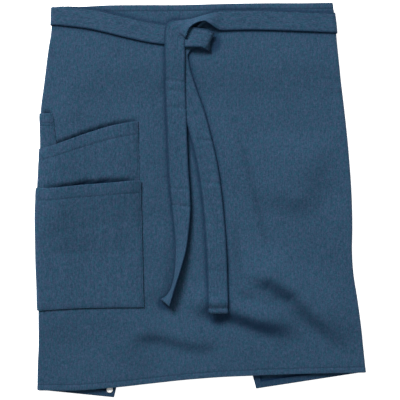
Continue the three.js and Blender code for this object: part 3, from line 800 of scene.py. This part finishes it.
# painted shade: darkest under the ties and fading out beside their edges
def under_ties(x, y):
    nearest = np.full(x.shape, FAR)
    for side in (-1, 1):
        for line, halves in (band_outline(side), tail_outline(side)):
            nearest = np.minimum(nearest, beside_band(x, y, line, halves))
    return TIE_SHADE * bell(np.maximum(nearest + 1, 0), 0, SHOWS_BESIDE)


# %% Painted shade of the body
LIGHT_STEP = (-0.47, 0.88)  # one millimetre towards the light
# painted shade on the side of each crease that faces away from the lamp
CREASE_SHADE = 0.8
# painted shade along the dent of the hem's stitches
STITCH_SHADE = 0.3
# painted shade over the whole reverse, standing for the front's shadow on the folded wings
REVERSE_SHADE = 0.38
# painted shade along the fold line of the turned-in hem
FOLD_SHADE = 0.62

x, y = body_grid[..., 0], body_grid[..., 1]
slope = crease_height(x + LIGHT_STEP[0], y + LIGHT_STEP[1]) - crease_height(x, y)
# painted shade where a crease slopes down away from the light
lee = np.where(on_front, ease(0.02, 0.5, slope), 0)
outer_shade = lee * CREASE_SHADE + STITCH_SHADE * bell(edge_distance, HEM, 0.9)
outer_shade = np.maximum(outer_shade, under_ties(x, y))
# painted shade where the body sinks into a pocket mouth
outer_shade = np.maximum(outer_shade, SUNK_SHADE * sunk)
# painted shade on the reverse and at the turned-in hem's fold line
inner_shade = REVERSE_SHADE + FOLD_SHADE * bell(edge_distance, 10.4, 1.1)

# %% Apron body
hem_inside = np.maximum(hem_inner(from_ends), hem_inner(from_sides))
apron_cloth = make_cloth(
    "apron_cloth",
    body_grid[::-1],
    body_threads[::-1],
    (hem_outer(edge_distance) * full)[::-1],
    (hem_inside * full)[::-1],
    (outer_shade[::-1], inner_shade[::-1]),
    body_cloth,
)
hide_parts("apron_body")

# %% [markdown]
# ## Pockets
#
# Three patch pockets lie on each other at the left fold and wrap behind it. Each one is a piece of cloth
# that follows the body's surface, one layer further out than what it lies on, so it can't cut through it.
# Its mouth stands open a little, and its seams press the edges down.


# %% How far the pockets lie off the body
def under_slanted(reach, y):
    pen_bottom = PEN_MOUTH + PEN_DEPTH
    beside = ease(PEN_WIDTH[1] + QUARTER + 2 * CLOTH, PEN_WIDTH[1] + POCKET_WRAP, reach)
    below = ease(pen_bottom, pen_bottom + LIFT_RUN, -y)
    return 1 + (1 - beside) * (1 - below)


def gape(height, share, row):
    return height * arch(share) * np.clip(1 - (row / 0.55) ** 2, 0, 1)


def off_pen(reach, y, row):
    return LAYER + gape(GAPE["pen"], reach / PEN_WIDTH[0], row)


def off_slanted(reach, y, _):
    top = pocket_y(1, reach)
    row = np.maximum((top - y) / (top - pocket_y(3, reach) - SLANT_HEM_RISE), 0)
    return LAYER * under_slanted(reach, y) + gape(GAPE["slanted"], reach / SLANT_WIDTH, row)


def off_lower(reach, y, row):
    return off_slanted(reach, y, row) + LAYER + gape(GAPE["lower"], reach / POCKET_WIDTH, row)


def sunk_slanted(reach, y):
    """The slanted pocket sinks under the lower pocket's lip."""
    share = np.clip((reach / POCKET_WIDTH - 0.05) / 0.9, 0, 1)
    return mouth_dip(pocket_y(2, reach) - y, share, 3.9, 2.0 + 2.4 * bell(share, 0.6, 0.25))


# %% Hems and side edges of the pockets
MOUTH_HEM = 18.0
PEN_HEM = 14.4
MOUTH_STOPS = (0, 0.15, 0.5, 2.0, 6.0, 11.0, 13.7, PEN_HEM, 15.1, 17.3, MOUTH_HEM, 18.7, 20.0)
SEAM = 2.2
SIDE_STOPS = (0, 0.15, 0.5, 1.5, SEAM, 2.9, 4.0)
# DENT_SHADE is painted shade along the stitch dents of the seams and mouth hems
POCKET_PUFF, POCKET_DENT, DENT_SHADE = 0.3, 0.24, 0.22
PRESS = 0.45  # how far the seams press a pocket's edges down
POCKET_THREADS = 900.0  # the pockets are cut from another place of the bolt

# down, across, of each pocket's inner side edge on the front
PEN_SIDE = np.array([
    (0.288, -0.4494), (0.2984, -0.4461), (0.3193, -0.4433), (0.348, -0.4403), (0.3715, -0.4357),
    (0.515, -0.4327),
])  # fmt: skip
SLANTED_SIDE = np.array([(0.3089, -0.1892), (0.3704, -0.1877), (0.4537, -0.1849), (0.776, -0.179)])
LOWER_SIDE = np.array([
    (0.4654, -0.18), (0.5411, -0.1792), (0.6376, -0.1761), (0.7498, -0.1731), (0.7957, -0.1716),
])  # fmt: skip
print("the slanted mouth is", round(SLANT_WIDTH), "mm wide and the lower one", round(POCKET_WIDTH))


# %% Make a pocket
def pocket_reaches(width, wrap):
    """Places across a pocket, from behind the fold to its inner side."""
    inner = stops(-QUARTER - wrap, -QUARTER, STEP, SIDE_STOPS)
    inner = inner[inner < -QUARTER - 4]
    outer = stops(QUARTER, QUARTER + width, STEP, SIDE_STOPS)
    outer = outer[outer > QUARTER + 3]
    return np.array([*inner, *arc, *outer])[None, :]


def spread_to_side(reach, y, side_edge):
    """The places across, row by row, moved so that the last one meets the side edge."""
    fold = fold_x(-1, row_near(-1, reach[:, -1:], y[:, -1:]))
    wide = read(side_edge, 1, -y[:, -1:] / FRONT_LENGTH) * HEM_WIDTH - fold - FOLD_RADIUS
    spread = wide / (reach[0, -1] - QUARTER)
    return np.where(reach > QUARTER, QUARTER + (reach - QUARTER) * spread, reach)


def make_pocket(name, node, reach, mouth, bottom, off, side_edge, mouth_hems, press=PRESS, sunk=None):
    depth = float(np.mean(mouth(reach) - bottom(reach)))
    to_mouth = stops(0.0, depth, STEP, MOUTH_STOPS)[:, None]
    row = to_mouth / depth
    reach = np.broadcast_to(reach, (len(row), reach.shape[-1]))
    reach = spread_to_side(reach, lerp(mouth(reach), bottom(reach), row), side_edge)
    y = lerp(mouth(reach), bottom(reach), row)
    to_side = np.minimum(reach - reach[:, :1], reach[:, -1:] - reach)
    to_seam = np.minimum(depth - to_mouth, to_side)
    dip = sunk(reach, y) if sunk else 0 * reach
    distance = off(reach, y, row) - dip - press * (1 - ease(2, 9, to_seam))
    grid = beside_cloth(-1, reach, row_near(-1, reach, y), distance)
    full = rounded(np.minimum(to_mouth, to_seam), RIM)
    middle = mouth_hems[0] / 2
    puffed = POCKET_PUFF * np.clip(1 - ((to_mouth - middle) / middle) ** 2, 0, 1)
    dents = bell(to_seam, SEAM, 0.7) + sum(bell(to_mouth, hem, 0.8) for hem in mouth_hems)
    outer = (SHEET / 2 + puffed - POCKET_DENT * dents) * full
    # painted shade in the stitch dents, and where the slanted pocket sinks under the lower pocket's lip
    shade = np.maximum(DENT_SHADE * np.clip(dents, 0, 1), SUNK_SHADE * dip)
    threads = np.stack([reach + POCKET_THREADS, y], -1)
    sheets = [sheet[::-1] for sheet in (grid, threads, outer, SHEET / 2 * full)]
    made = make_cloth(name, *sheets, (shade[::-1],), pocket_cloth)
    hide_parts(node)
    return made


# %% Three pockets
pen_pocket = make_pocket(
    "pen_pocket_cloth", "pocket_pen", pocket_reaches(PEN_WIDTH[1], PEN_WRAP),
    lambda reach: np.full(reach.shape, -PEN_MOUTH),
    lambda reach: np.full(reach.shape, -PEN_MOUTH - PEN_DEPTH),
    off_pen, PEN_SIDE, (PEN_HEM, MOUTH_HEM), press=0.0,
)  # fmt: skip
slanted_pocket = make_pocket(
    "slanted_pocket_cloth", "pocket_slanted", pocket_reaches(SLANT_WIDTH, POCKET_WRAP),
    lambda reach: pocket_y(1, reach),
    lambda reach: pocket_y(3, reach) + SLANT_HEM_RISE,
    off_slanted, SLANTED_SIDE, (MOUTH_HEM,), sunk=sunk_slanted,
)  # fmt: skip
lower_pocket = make_pocket(
    "lower_pocket_cloth", "pocket_lower", pocket_reaches(POCKET_WIDTH, POCKET_WRAP),
    lambda reach: pocket_y(2, reach),
    lambda reach: pocket_y(3, reach),
    off_lower, LOWER_SIDE, (MOUTH_HEM,),
)  # fmt: skip

# %% [markdown]
# ## Ties
#
# Each tie is a sewn band. It starts under one wing's inner edge, runs behind the other wing, comes round
# that wing's fold to the front, and goes on through the knot and down as a tail. A curve with a bevel
# would give a tie too, but it couldn't lie on the folds. So the band follows the body's surface up to the
# knot, and from there on sections are set across a smooth route.

# %% Bands along the waist
HALF_SHARES = (0, 0.3, 0.6, 0.8, 0.86, 0.885, 0.91, 0.95, 0.985, 1)
SHARES = np.array([*reversed(HALF_SHARES), *(-s for s in HALF_SHARES[1:])])
MIDDLE = len(SHARES) // 2


def inner_edge(side):
    return float(fold_x(side, np.array(TIE_ROW)) - side * wing_width(side, np.array(TIE_ROW)))


def back_rise(side, x):
    edge = inner_edge(1)
    crossing = 1 - ease(edge, edge + 3 * TIE_ROOT, x)
    seat = ease(edge + 0.1 * TIE_ROOT, edge + 0.9 * TIE_ROOT, x)
    return PLY * (crossing if side > 0 else seat)


def band_reach(side):
    """Places along a tie, from its root behind the wing to the knot."""
    root = inner_edge(-side) - side * TIE_ROOT
    first = -QUARTER - (abs(root - float(fold_x(side, np.array(TIE_ROW)))) - FOLD_RADIUS)
    last = BANDS[side][-1, 0] * HEM_WIDTH
    return np.array([*stops(first, -QUARTER, 4.0)[:-1], *arc, *stops(QUARTER, last, 3.5)[1:]])[:, None]


def band_sections(side):
    reach = band_reach(side)

    def centre(at):
        return -FRONT_LENGTH * read(BANDS[side], 1, at / HEM_WIDTH)

    slope = (centre(reach + 1) - centre(reach - 1)) / 2
    wide = TIE_WIDTH / 2 / np.hypot(slope, 1)
    at = reach - SHARES * wide * slope
    y = centre(reach) + SHARES * wide
    loose = TIE_AIR * ease(QUARTER, QUARTER + 40, at)
    point = beside_cloth(side, at, row_near(side, at, y), (CLOTH + TIE_THICKNESS) / 2 + CLEARANCE + loose)
    seat = TIE_THICKNESS / 2 + back_rise(side, point[..., 0])
    settled = lerp(point[..., 2], seat, ease(4, 50, -reach - QUARTER))
    behind = np.broadcast_to(reach < -QUARTER, at.shape)
    point[..., 1] = np.where(behind, y, point[..., 1])
    point[..., 2] = np.where(behind, settled, point[..., 2])
    return point


# %% Smooth route
def curve_slopes(p0, p1, p2, p3):
    """Slopes at p1 and p2 that keep a curve from looping where its points lie unevenly."""
    d0, d1, d2 = (max(np.linalg.norm(b - a) ** 0.5, 1e-4) for a, b in ((p0, p1), (p1, p2), (p2, p3)))
    start = ((p1 - p0) / d0 - (p2 - p0) / (d0 + d1) + (p2 - p1) / d1) * d1
    end = ((p2 - p1) / d1 - (p3 - p1) / (d1 + d2) + (p3 - p2) / d2) * d1
    return start, end


def smooth_path(points, columns, step):
    """Points a step apart on a smooth curve through the rows, and the columns at the same places."""
    ends = [2 * points[0] - points[1], *points, 2 * points[-1] - points[-2]]
    places, values = [], []
    for i in range(1, len(ends) - 2):
        p1, p2 = ends[i : i + 2]
        m1, m2 = curve_slopes(*ends[i - 1 : i + 3])
        count = max(2, round(np.linalg.norm(p2 - p1) / step))
        for t in np.arange(1, count + 1) / count:
            near = (2 * t**3 - 3 * t**2 + 1) * p1 + (t**3 - 2 * t**2 + t) * m1
            places.append(near + (3 * t**2 - 2 * t**3) * p2 + (t**3 - t**2) * m2)
            values.append(lerp(columns[i - 1], columns[i], t))
    return np.array(places), np.array(values)


# %% Route of a tail
TAIL_STEP = 2.2


def height_over(x, y):
    return front_height(x, row_at(lambda _: x, y))


def tail_route(side, start):
    """The tail's middle line with its roll and width, above the highest cloth under each place."""
    tail = TAILS[side]
    x, y = tail[:, 0] * HEM_WIDTH, -tail[:, 1] * FRONT_LENGTH
    half = TIE_WIDTH * tail[:, 4] / 2
    roll = np.radians(tail[:, 3])
    all_x, all_y = np.array([start[0], *x, x[-1]]), np.array([start[1], *y, y[-1]])
    across = unit(np.stack([all_y[:-2] - all_y[2:], all_x[2:] - all_x[:-2]], -1))
    across = across * (half * np.cos(roll))[:, None]
    both_sides = np.array((-1, 0, 1))
    under = height_over(x[:, None] + across[:, :1] * both_sides, y[:, None] + across[:, 1:] * both_sides)
    gap = (CLOTH + TIE_THICKNESS) / 2 + CLEARANCE + TIE_AIR + tail[:, 2] * PLY
    z = under.max(axis=1) + gap + np.abs(np.sin(roll)) * half
    places = np.vstack([start, np.stack([x, y, z], -1)])
    return smooth_path(places, np.vstack([[0.0, 1.0], tail[:, 3:5]]), TAIL_STEP)


# %% Sections across a tail
def tail_sections(side, last):
    centres, values = tail_route(side, last[MIDDLE])
    headings = unit(np.gradient(centres, axis=0))
    across = last[0] - last[-1]
    sections = []
    for centre, heading, (roll, width) in zip(centres, headings, values):
        level = np.array((-heading[1], heading[0], 0.0))
        if np.linalg.norm(level) < 0.5:
            across = across * (1, 1, 0)
        else:
            across = level * math.copysign(1, level @ across)
        across = across / np.linalg.norm(across)
        angle = math.radians(roll)
        edge = across * math.cos(angle) + np.cross(heading, across) * math.sin(angle)
        sections.append(centre + edge * SHARES[:, None] * TIE_WIDTH / 2 * width)
    return np.array(sections)


# %% [markdown]
# The tails were folded up before they lay here, which left a few sharp creases straight across them.
# Each one sinks the band along a narrow line. A bump in the material would not show against the light.

# %% Cross creases
# across, down and depth of the cross creases in the tails, in hem widths, front lengths and millimetres
CROSS_CREASES = {
    -1: ((0.015, 0.36, 0.9), (0.03, 0.47, 0.8), (0.05, 0.7, 0.9), (0.05, 0.765, 0.8)),
    1: (
        (-0.07, 0.207, 1.0), (-0.07, 0.232, 0.8), (-0.07, 0.275, 1.0), (-0.07, 0.485, 1.1),
        (-0.06, 0.53, 1.2),
    ),
}  # fmt: skip
CREASE_TILT = 0.12
CREASE_NARROW, CREASE_REACH = 2.2, 30


def add_cross_creases(tail, side):
    for across, down, depth in CROSS_CREASES[side]:
        x, y = tail[..., 0] - across * HEM_WIDTH, tail[..., 1] + down * FRONT_LENGTH
        tail[..., 2] -= depth * bell(y + CREASE_TILT * x, 0, CREASE_NARROW) * bell(x, 0, CREASE_REACH)


# %% Make a tie
TIE_RIM = 0.8
TIE_SEAM = 1.75
TIE_DENT = 0.14
# painted shade along the tie's edges and its seam dent
EDGE_SHADE, SEAM_SHADE = 0.85, 0.2
TIE_THREADS = 300  # each tie is cut from its own place of the bolt


def path_lengths(points):
    return np.concatenate([[0], np.cumsum(np.linalg.norm(np.diff(points, axis=0), axis=1))])


def tie_shade(edges, ends):
    """Painted shade along a tie's turned edges and its seam dent, fading out at its ends."""
    shade = EDGE_SHADE * bell(edges, 0, 1.2) + SEAM_SHADE * bell(edges, TIE_SEAM, 0.6)
    return shade * (1 - 0.8 * bell(ends, 0, 2.5))


def make_tie(name, node, side):
    band = band_sections(side)
    grid = np.concatenate([band, tail_sections(side, band[-1])])
    length = path_lengths(grid[:, MIDDLE])
    grid[0] += (grid[0] - grid[1]) * 0.02
    add_cross_creases(grid[len(band) :], side)
    ends = np.minimum(length, length[-1] - length)[:, None]
    edges = (1 - np.abs(SHARES))[None, :] * TIE_WIDTH / 2
    full = rounded(edges, TIE_RIM) * rounded(np.broadcast_to(ends, grid.shape[:2]), TIE_RIM)
    face = (TIE_THICKNESS / 2 - TIE_DENT * bell(edges, TIE_SEAM, 0.5)) * full
    across = SHARES[None, :] * TIE_WIDTH / 2 + TIE_THREADS * side
    threads = np.stack(np.broadcast_arrays(across, length[:, None]), -1)
    order = slice(None, None, -1 if side < 0 else 1)
    sheets = (grid[order], threads[order], face[order], face[order])
    made = make_cloth(name, *sheets, (tie_shade(edges, ends),), tie_cloth)
    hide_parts(node)
    print(name, "is", round(length[-1]), "mm long")
    return made, length[-1] * MM


# %% Two ties
right_tie, right_length = make_tie("right_tie_cloth", "tie_right", -1)
left_tie, left_length = make_tie("left_tie_cloth", "tie_left", 1)

# %% [markdown]
# Inside the knot a folded edge of the left tie shows as a narrow bright strip that slips under the wrap.
# It is a short strip of its own, because the tie would have to be pleated to show it.

# %% Folded edge in the knot
# across, down, plies underneath
FOLDED_EDGE = np.array([
    (0.0289, 0.0407, 0.5), (0.0106, 0.0519, 1.1), (-0.0061, 0.065, 1.3), (-0.0213, 0.078, 0.6),
])  # fmt: skip
FOLDED_WIDTH = 4.6
FOLDED_TILT = math.radians(-32)
FOLDED_HALF_THICKNESS = 0.7
FOLDED_STEP = 1.2

folded_x, folded_y = FOLDED_EDGE[:, 0] * HEM_WIDTH, -FOLDED_EDGE[:, 1] * FRONT_LENGTH
folded_z = height_over(folded_x, folded_y) + CLOTH / 2 + TIE_THICKNESS + FOLDED_EDGE[:, 2] * PLY
folded_points = np.stack([folded_x, folded_y, folded_z], -1)
folded_path, _ = smooth_path(folded_points, FOLDED_EDGE[:, :2], FOLDED_STEP)
heading = unit(np.gradient(folded_path, axis=0))
level = unit(np.stack([-heading[:, 1], heading[:, 0], 0 * heading[:, 0]], -1))
edge = level * math.cos(FOLDED_TILT) + np.cross(heading, level) * math.sin(FOLDED_TILT)
folded_grid = folded_path[:, None] + edge[:, None] * SHARES[:, None] * FOLDED_WIDTH / 2

# %% Make the folded edge
folded_size = folded_grid.shape[:2]
folded_face = rounded((1 - np.abs(SHARES)) * FOLDED_WIDTH / 2, 0.7) * FOLDED_HALF_THICKNESS
folded_face = np.tile(folded_face, (folded_size[0], 1))
folded_face[[0, -1]] = 0
folded_along = np.arange(folded_size[0])[:, None] * FOLDED_STEP
folded_across = SHARES[None, :] * FOLDED_WIDTH / 2 + 2 * TIE_THREADS
folded_threads = np.stack(np.broadcast_arrays(folded_across, folded_along), -1)
unshaded = (np.zeros(folded_size),)
folded_sheets = (folded_grid, folded_threads, folded_face, folded_face)
knot_fold = make_cloth("knot_fold", *folded_sheets, unshaded, tie_cloth)

# %% [markdown]
# ## Stitches
#
# A sewing machine leaves a row of short thread bows, about three to a centimetre. A dashed line in the
# material would be flat, so each stitch is a small rounded bar that lies on the cloth. It has only a few
# faces, because there are thousands of them. Each row follows one line of points of a cloth's face.

# %% Thread material
thread_graph = Graph("sewing_thread")
thread_place = thread_graph.node("ShaderNodeTexCoord", output=3)
fuzz = thread_graph.cloudy(thread_place, 2500.0, 2.0)
twist = thread_graph.node("ShaderNodeBump", {"Strength": 0.4, "Distance": 0.0001, "Height": fuzz})
sewing_thread = thread_graph.finish(
    normal=twist,
    Base_Color=thread_graph.mix(fuzz, (0.01, 0.028, 0.055, 1.0), (0.035, 0.075, 0.125, 1.0)),
    Roughness=0.7,
    Specular_IOR_Level=0.1,
)
print("sewing_thread has", len(thread_graph.tree.nodes), "nodes")

# %% One stitch
STITCH = 2.7
STITCH_PITCH = 3.4
THREAD_RADIUS = 0.21
THREAD_AIR = 0.02
SIDES = 6
RING = np.arange(SIDES) * 2 * math.pi / SIDES
BAR_STATIONS = np.array((0, 0.35, STITCH - 0.35, STITCH))
BAR_RADII = THREAD_RADIUS * np.array((0.4, 1, 1, 0.4))
BAR_POINTS = len(BAR_STATIONS) * SIDES


def bar_faces():
    """The faces of one bar: a strip between each two rings, and both ends."""
    faces = []
    for first in range(0, BAR_POINTS - SIDES, SIDES):
        for k in range(SIDES):
            after = (k + 1) % SIDES
            faces.append((first + k, first + after, first + SIDES + after, first + SIDES + k))
    return faces + [tuple(range(SIDES - 1, -1, -1)), tuple(range(BAR_POINTS - SIDES, BAR_POINTS))]


BAR_FACES = bar_faces()
print("a stitch has", len(BAR_FACES), "faces")


# %% Sew a row
def along_line(stations, length, columns):
    return np.stack([np.interp(stations, length, columns[:, k]) for k in range(3)], -1)


def stitch_bars(line, normal):
    """The points of the bars of one row."""
    length = path_lengths(line)
    stations = np.arange(0.5, length[-1] - STITCH, STITCH_PITCH)[:, None] + BAR_STATIONS
    place = along_line(stations, length, line)
    up = unit(along_line(stations, length, normal))
    along = unit(np.broadcast_to(place[:, -1:] - place[:, :1], place.shape))
    beside = unit(np.cross(along, up))
    ring = beside[:, :, None] * np.cos(RING)[:, None] + up[:, :, None] * np.sin(RING)[:, None]
    middle = place + up * (THREAD_RADIUS + THREAD_AIR)
    return (middle[:, :, None] + ring * BAR_RADII[:, None, None]).reshape(-1, 3)


def sew(name, rows):
    points = np.vstack([stitch_bars(line, normal) for line, normal in rows])
    count = len(points) // BAR_POINTS
    faces = [tuple(BAR_POINTS * bar + v for v in face) for bar in range(count) for face in BAR_FACES]
    made = new_object(name, points, faces, np.zeros((len(points), 2)), sewing_thread)
    print(name, "has", count, "stitches")
    return made


# %% Lines of a cloth's face
def row_of(name, i, face=0, part=slice(None)):
    """One line of points across a cloth, with its outward normals."""
    normal = FACES[name][2] * (1 if face == 0 else -1)
    return FACES[name][face][i, part], normal[i, part]


def column_of(name, j, face=0, part=slice(None)):
    normal = FACES[name][2] * (1 if face == 0 else -1)
    return FACES[name][face][part, j], normal[part, j]


# %% Sew the hem
HEM_LINE = EDGE_STOPS.index(HEM)
inside = slice(HEM_LINE, -HEM_LINE)
both_ends = (HEM_LINE, -1 - HEM_LINE)
hem_rows = [row_of("apron_cloth", i, face, inside) for i in both_ends for face in (0, 1)]
hem_columns = [column_of("apron_cloth", j, face, inside) for j in both_ends for face in (0, 1)]
hem_stitches = sew("hem_stitches", hem_rows + hem_columns)

# %% Sew the pockets
SEAM_LINE = SIDE_STOPS.index(SEAM)
PEN_LINE = -1 - MOUTH_STOPS.index(PEN_HEM)
MOUTH_LINE = -1 - MOUTH_STOPS.index(MOUTH_HEM)


def sew_pocket(name, mouth_lines):
    """One row along both sides and the bottom, and the rows that hold the mouth's hem."""
    sides = [column_of(name, j, 0, slice(3, -1)) for j in (SEAM_LINE, -1 - SEAM_LINE)]
    ends = [row_of(name, i, 0, slice(4, -4)) for i in (3, *mouth_lines)]
    return sew(name.replace("cloth", "stitches"), sides + ends)


pen_stitches = sew_pocket("pen_pocket_cloth", (PEN_LINE, MOUTH_LINE))
slanted_stitches = sew_pocket("slanted_pocket_cloth", (MOUTH_LINE,))
lower_stitches = sew_pocket("lower_pocket_cloth", (MOUTH_LINE,))


# %% Sew the ties
def sew_tie(name):
    """One row along each edge and one across the end, seen on both faces."""
    edges = [column_of(name, j, face, slice(1, -1)) for j in (4, -5) for face in (0, 1)]
    end = [row_of(name, -2, face, slice(4, -4)) for face in (0, 1)]
    return sew(name.replace("cloth", "stitches"), edges + end)


right_stitches = sew_tie("right_tie_cloth")
left_stitches = sew_tie("left_tie_cloth")

# %% [markdown]
# ## Press stud
#
# The stud is a moulded plastic cap with a shallow dimple, riveted through the wing's corner. It is turned
# out of a cylinder by hand: the top's edge is bevelled, and the top is inset and lowered ring by ring.

# %% Stud plastic
stud_graph = Graph("stud_plastic")
stud_place = stud_graph.node("ShaderNodeTexCoord", output=3)
stud_wear = stud_graph.cloudy(stud_place, 900.0, 2.0)
stud_plastic = stud_graph.finish(
    Base_Color=stud_graph.mix(stud_wear, (0.72, 0.72, 0.7, 1.0), (0.86, 0.86, 0.85, 1.0)),
    Roughness=0.22 + stud_wear * 0.12,
    Coat_Weight=0.3,
)
print("stud_plastic has", len(stud_graph.tree.nodes), "nodes")

# %% Place of the stud
SNAP_DIAMETER = 9.7
SNAP_HEIGHT = 2.4
SNAP_FROM_EDGE = 9.0
SNAP_FROM_HEM = 11.0

snap_down = np.array(1 - SNAP_FROM_HEM / FRONT_LENGTH)
snap_reach = -QUARTER - wing_width(-1, snap_down) + FOLD_RADIUS + SNAP_FROM_EDGE
snap_place = cloth_point(-1, snap_reach, snap_down) + (0, 0, (SHEET + SNAP_HEIGHT) / 2) + ORIGIN
print("the stud is at", np.round(snap_place, 1).tolist())

# %% Shape the stud
CAP_SIDES = 48
CAP_BEVEL = 1.1
# inset and lift of each ring, from the rim's rounding in to the middle of the dimple
CAP_RINGS = ((0.4, 0.04), (0.7, 0.0), (0.35, -0.1), (0.35, -0.3), (0.35, -0.25), (0.5, -0.08))


def select_top(mesh):
    bm = bmesh.from_edit_mesh(mesh)
    highest = max(v.co.z for v in bm.verts)
    for face in bm.faces:
        face.select_set(min(v.co.z for v in face.verts) > highest - 1e-6)
    bmesh.update_edit_mesh(mesh)


bpy.ops.object.select_all(action="DESELECT")
bpy.ops.mesh.primitive_cylinder_add(
    vertices=CAP_SIDES,
    radius=SNAP_DIAMETER / 2 * MM,
    depth=SNAP_HEIGHT * MM,
    location=(snap_place * MM).tolist(),
)
snap_cap = bpy.context.object
snap_cap.name = "snap_cap"
bpy.ops.object.mode_set(mode="EDIT")
bpy.ops.mesh.select_mode(type="FACE")
select_top(snap_cap.data)
bpy.ops.mesh.bevel(offset=CAP_BEVEL * MM, segments=6, affect="EDGES")
select_top(snap_cap.data)
for inset, lift in CAP_RINGS:
    bpy.ops.mesh.inset(thickness=inset * MM)
    bpy.ops.transform.translate(value=(0, 0, lift * MM))
bpy.ops.object.mode_set(mode="OBJECT")
bpy.ops.object.shade_smooth_by_angle(angle=math.radians(50))
bpy.ops.object.transform_apply(location=True, rotation=False, scale=False)

# %% Finish the stud
snap_cap.data.materials.append(stud_plastic)
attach(snap_cap, "root")
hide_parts("snap")
print("snap_cap", len(snap_cap.data.polygons), "faces")

# %% [markdown]
# ## Floor and light
#
# The apron lies on a plain pale floor under soft light. The large lamp stands beyond the waist edge, to
# the left, so the lower side of each crease and tie lies in shade, as in the photograph. The faint one
# lifts the shadows.

# %% Floor
FLOOR_SIZE = 6.0
FLOOR_HEIGHT = -0.0004

bpy.ops.mesh.primitive_plane_add(size=FLOOR_SIZE, location=(0, 0, FLOOR_HEIGHT))
floor = bpy.context.object
floor.name = "floor"
pale = Graph("pale_floor")
speckle = pale.cloudy(pale.node("ShaderNodeTexCoord", output=3), 40.0, 3.0)
floor.data.materials.append(
    pale.finish(
        Base_Color=pale.mix(speckle, (0.9, 0.9, 0.9, 1), (0.93, 0.93, 0.93, 1)),
        Roughness=0.7,
        Emission_Color=(1.0, 1.0, 1.0, 1.0),
        Emission_Strength=0.8,
    )
)

# %% Surrounding light
WORLD_STRENGTH = 0.24

world = bpy.data.worlds.new("studio")
world.use_nodes = True
background = world.node_tree.nodes["Background"]
background.inputs["Color"].default_value = (1.0, 1.0, 1.0, 1.0)
background.inputs["Strength"].default_value = WORLD_STRENGTH
bpy.context.scene.world = world
bpy.context.scene.view_settings.view_transform = "Standard"


# %% Lamps
# name, place, size, power
LAMPS = (
    ("key", (-1.9, 3.6, 3.0), (2.4, 1.8), 455.0),
    ("fill", (1.6, -2.2, 3.4), (2.4, 2.0), 30.0),
)
for name, place, size, power in LAMPS:
    lamp = bpy.data.lights.new(name, "AREA")
    lamp.shape = "RECTANGLE"
    lamp.size, lamp.size_y = size
    lamp.energy = power
    stand = bpy.data.objects.new(name, lamp)
    stand.location = place
    stand.rotation_euler = (-Vector(place)).to_track_quat("-Z", "Y").to_euler()
    bpy.context.collection.objects.link(stand)
    print(name, "lamp shines from", place)
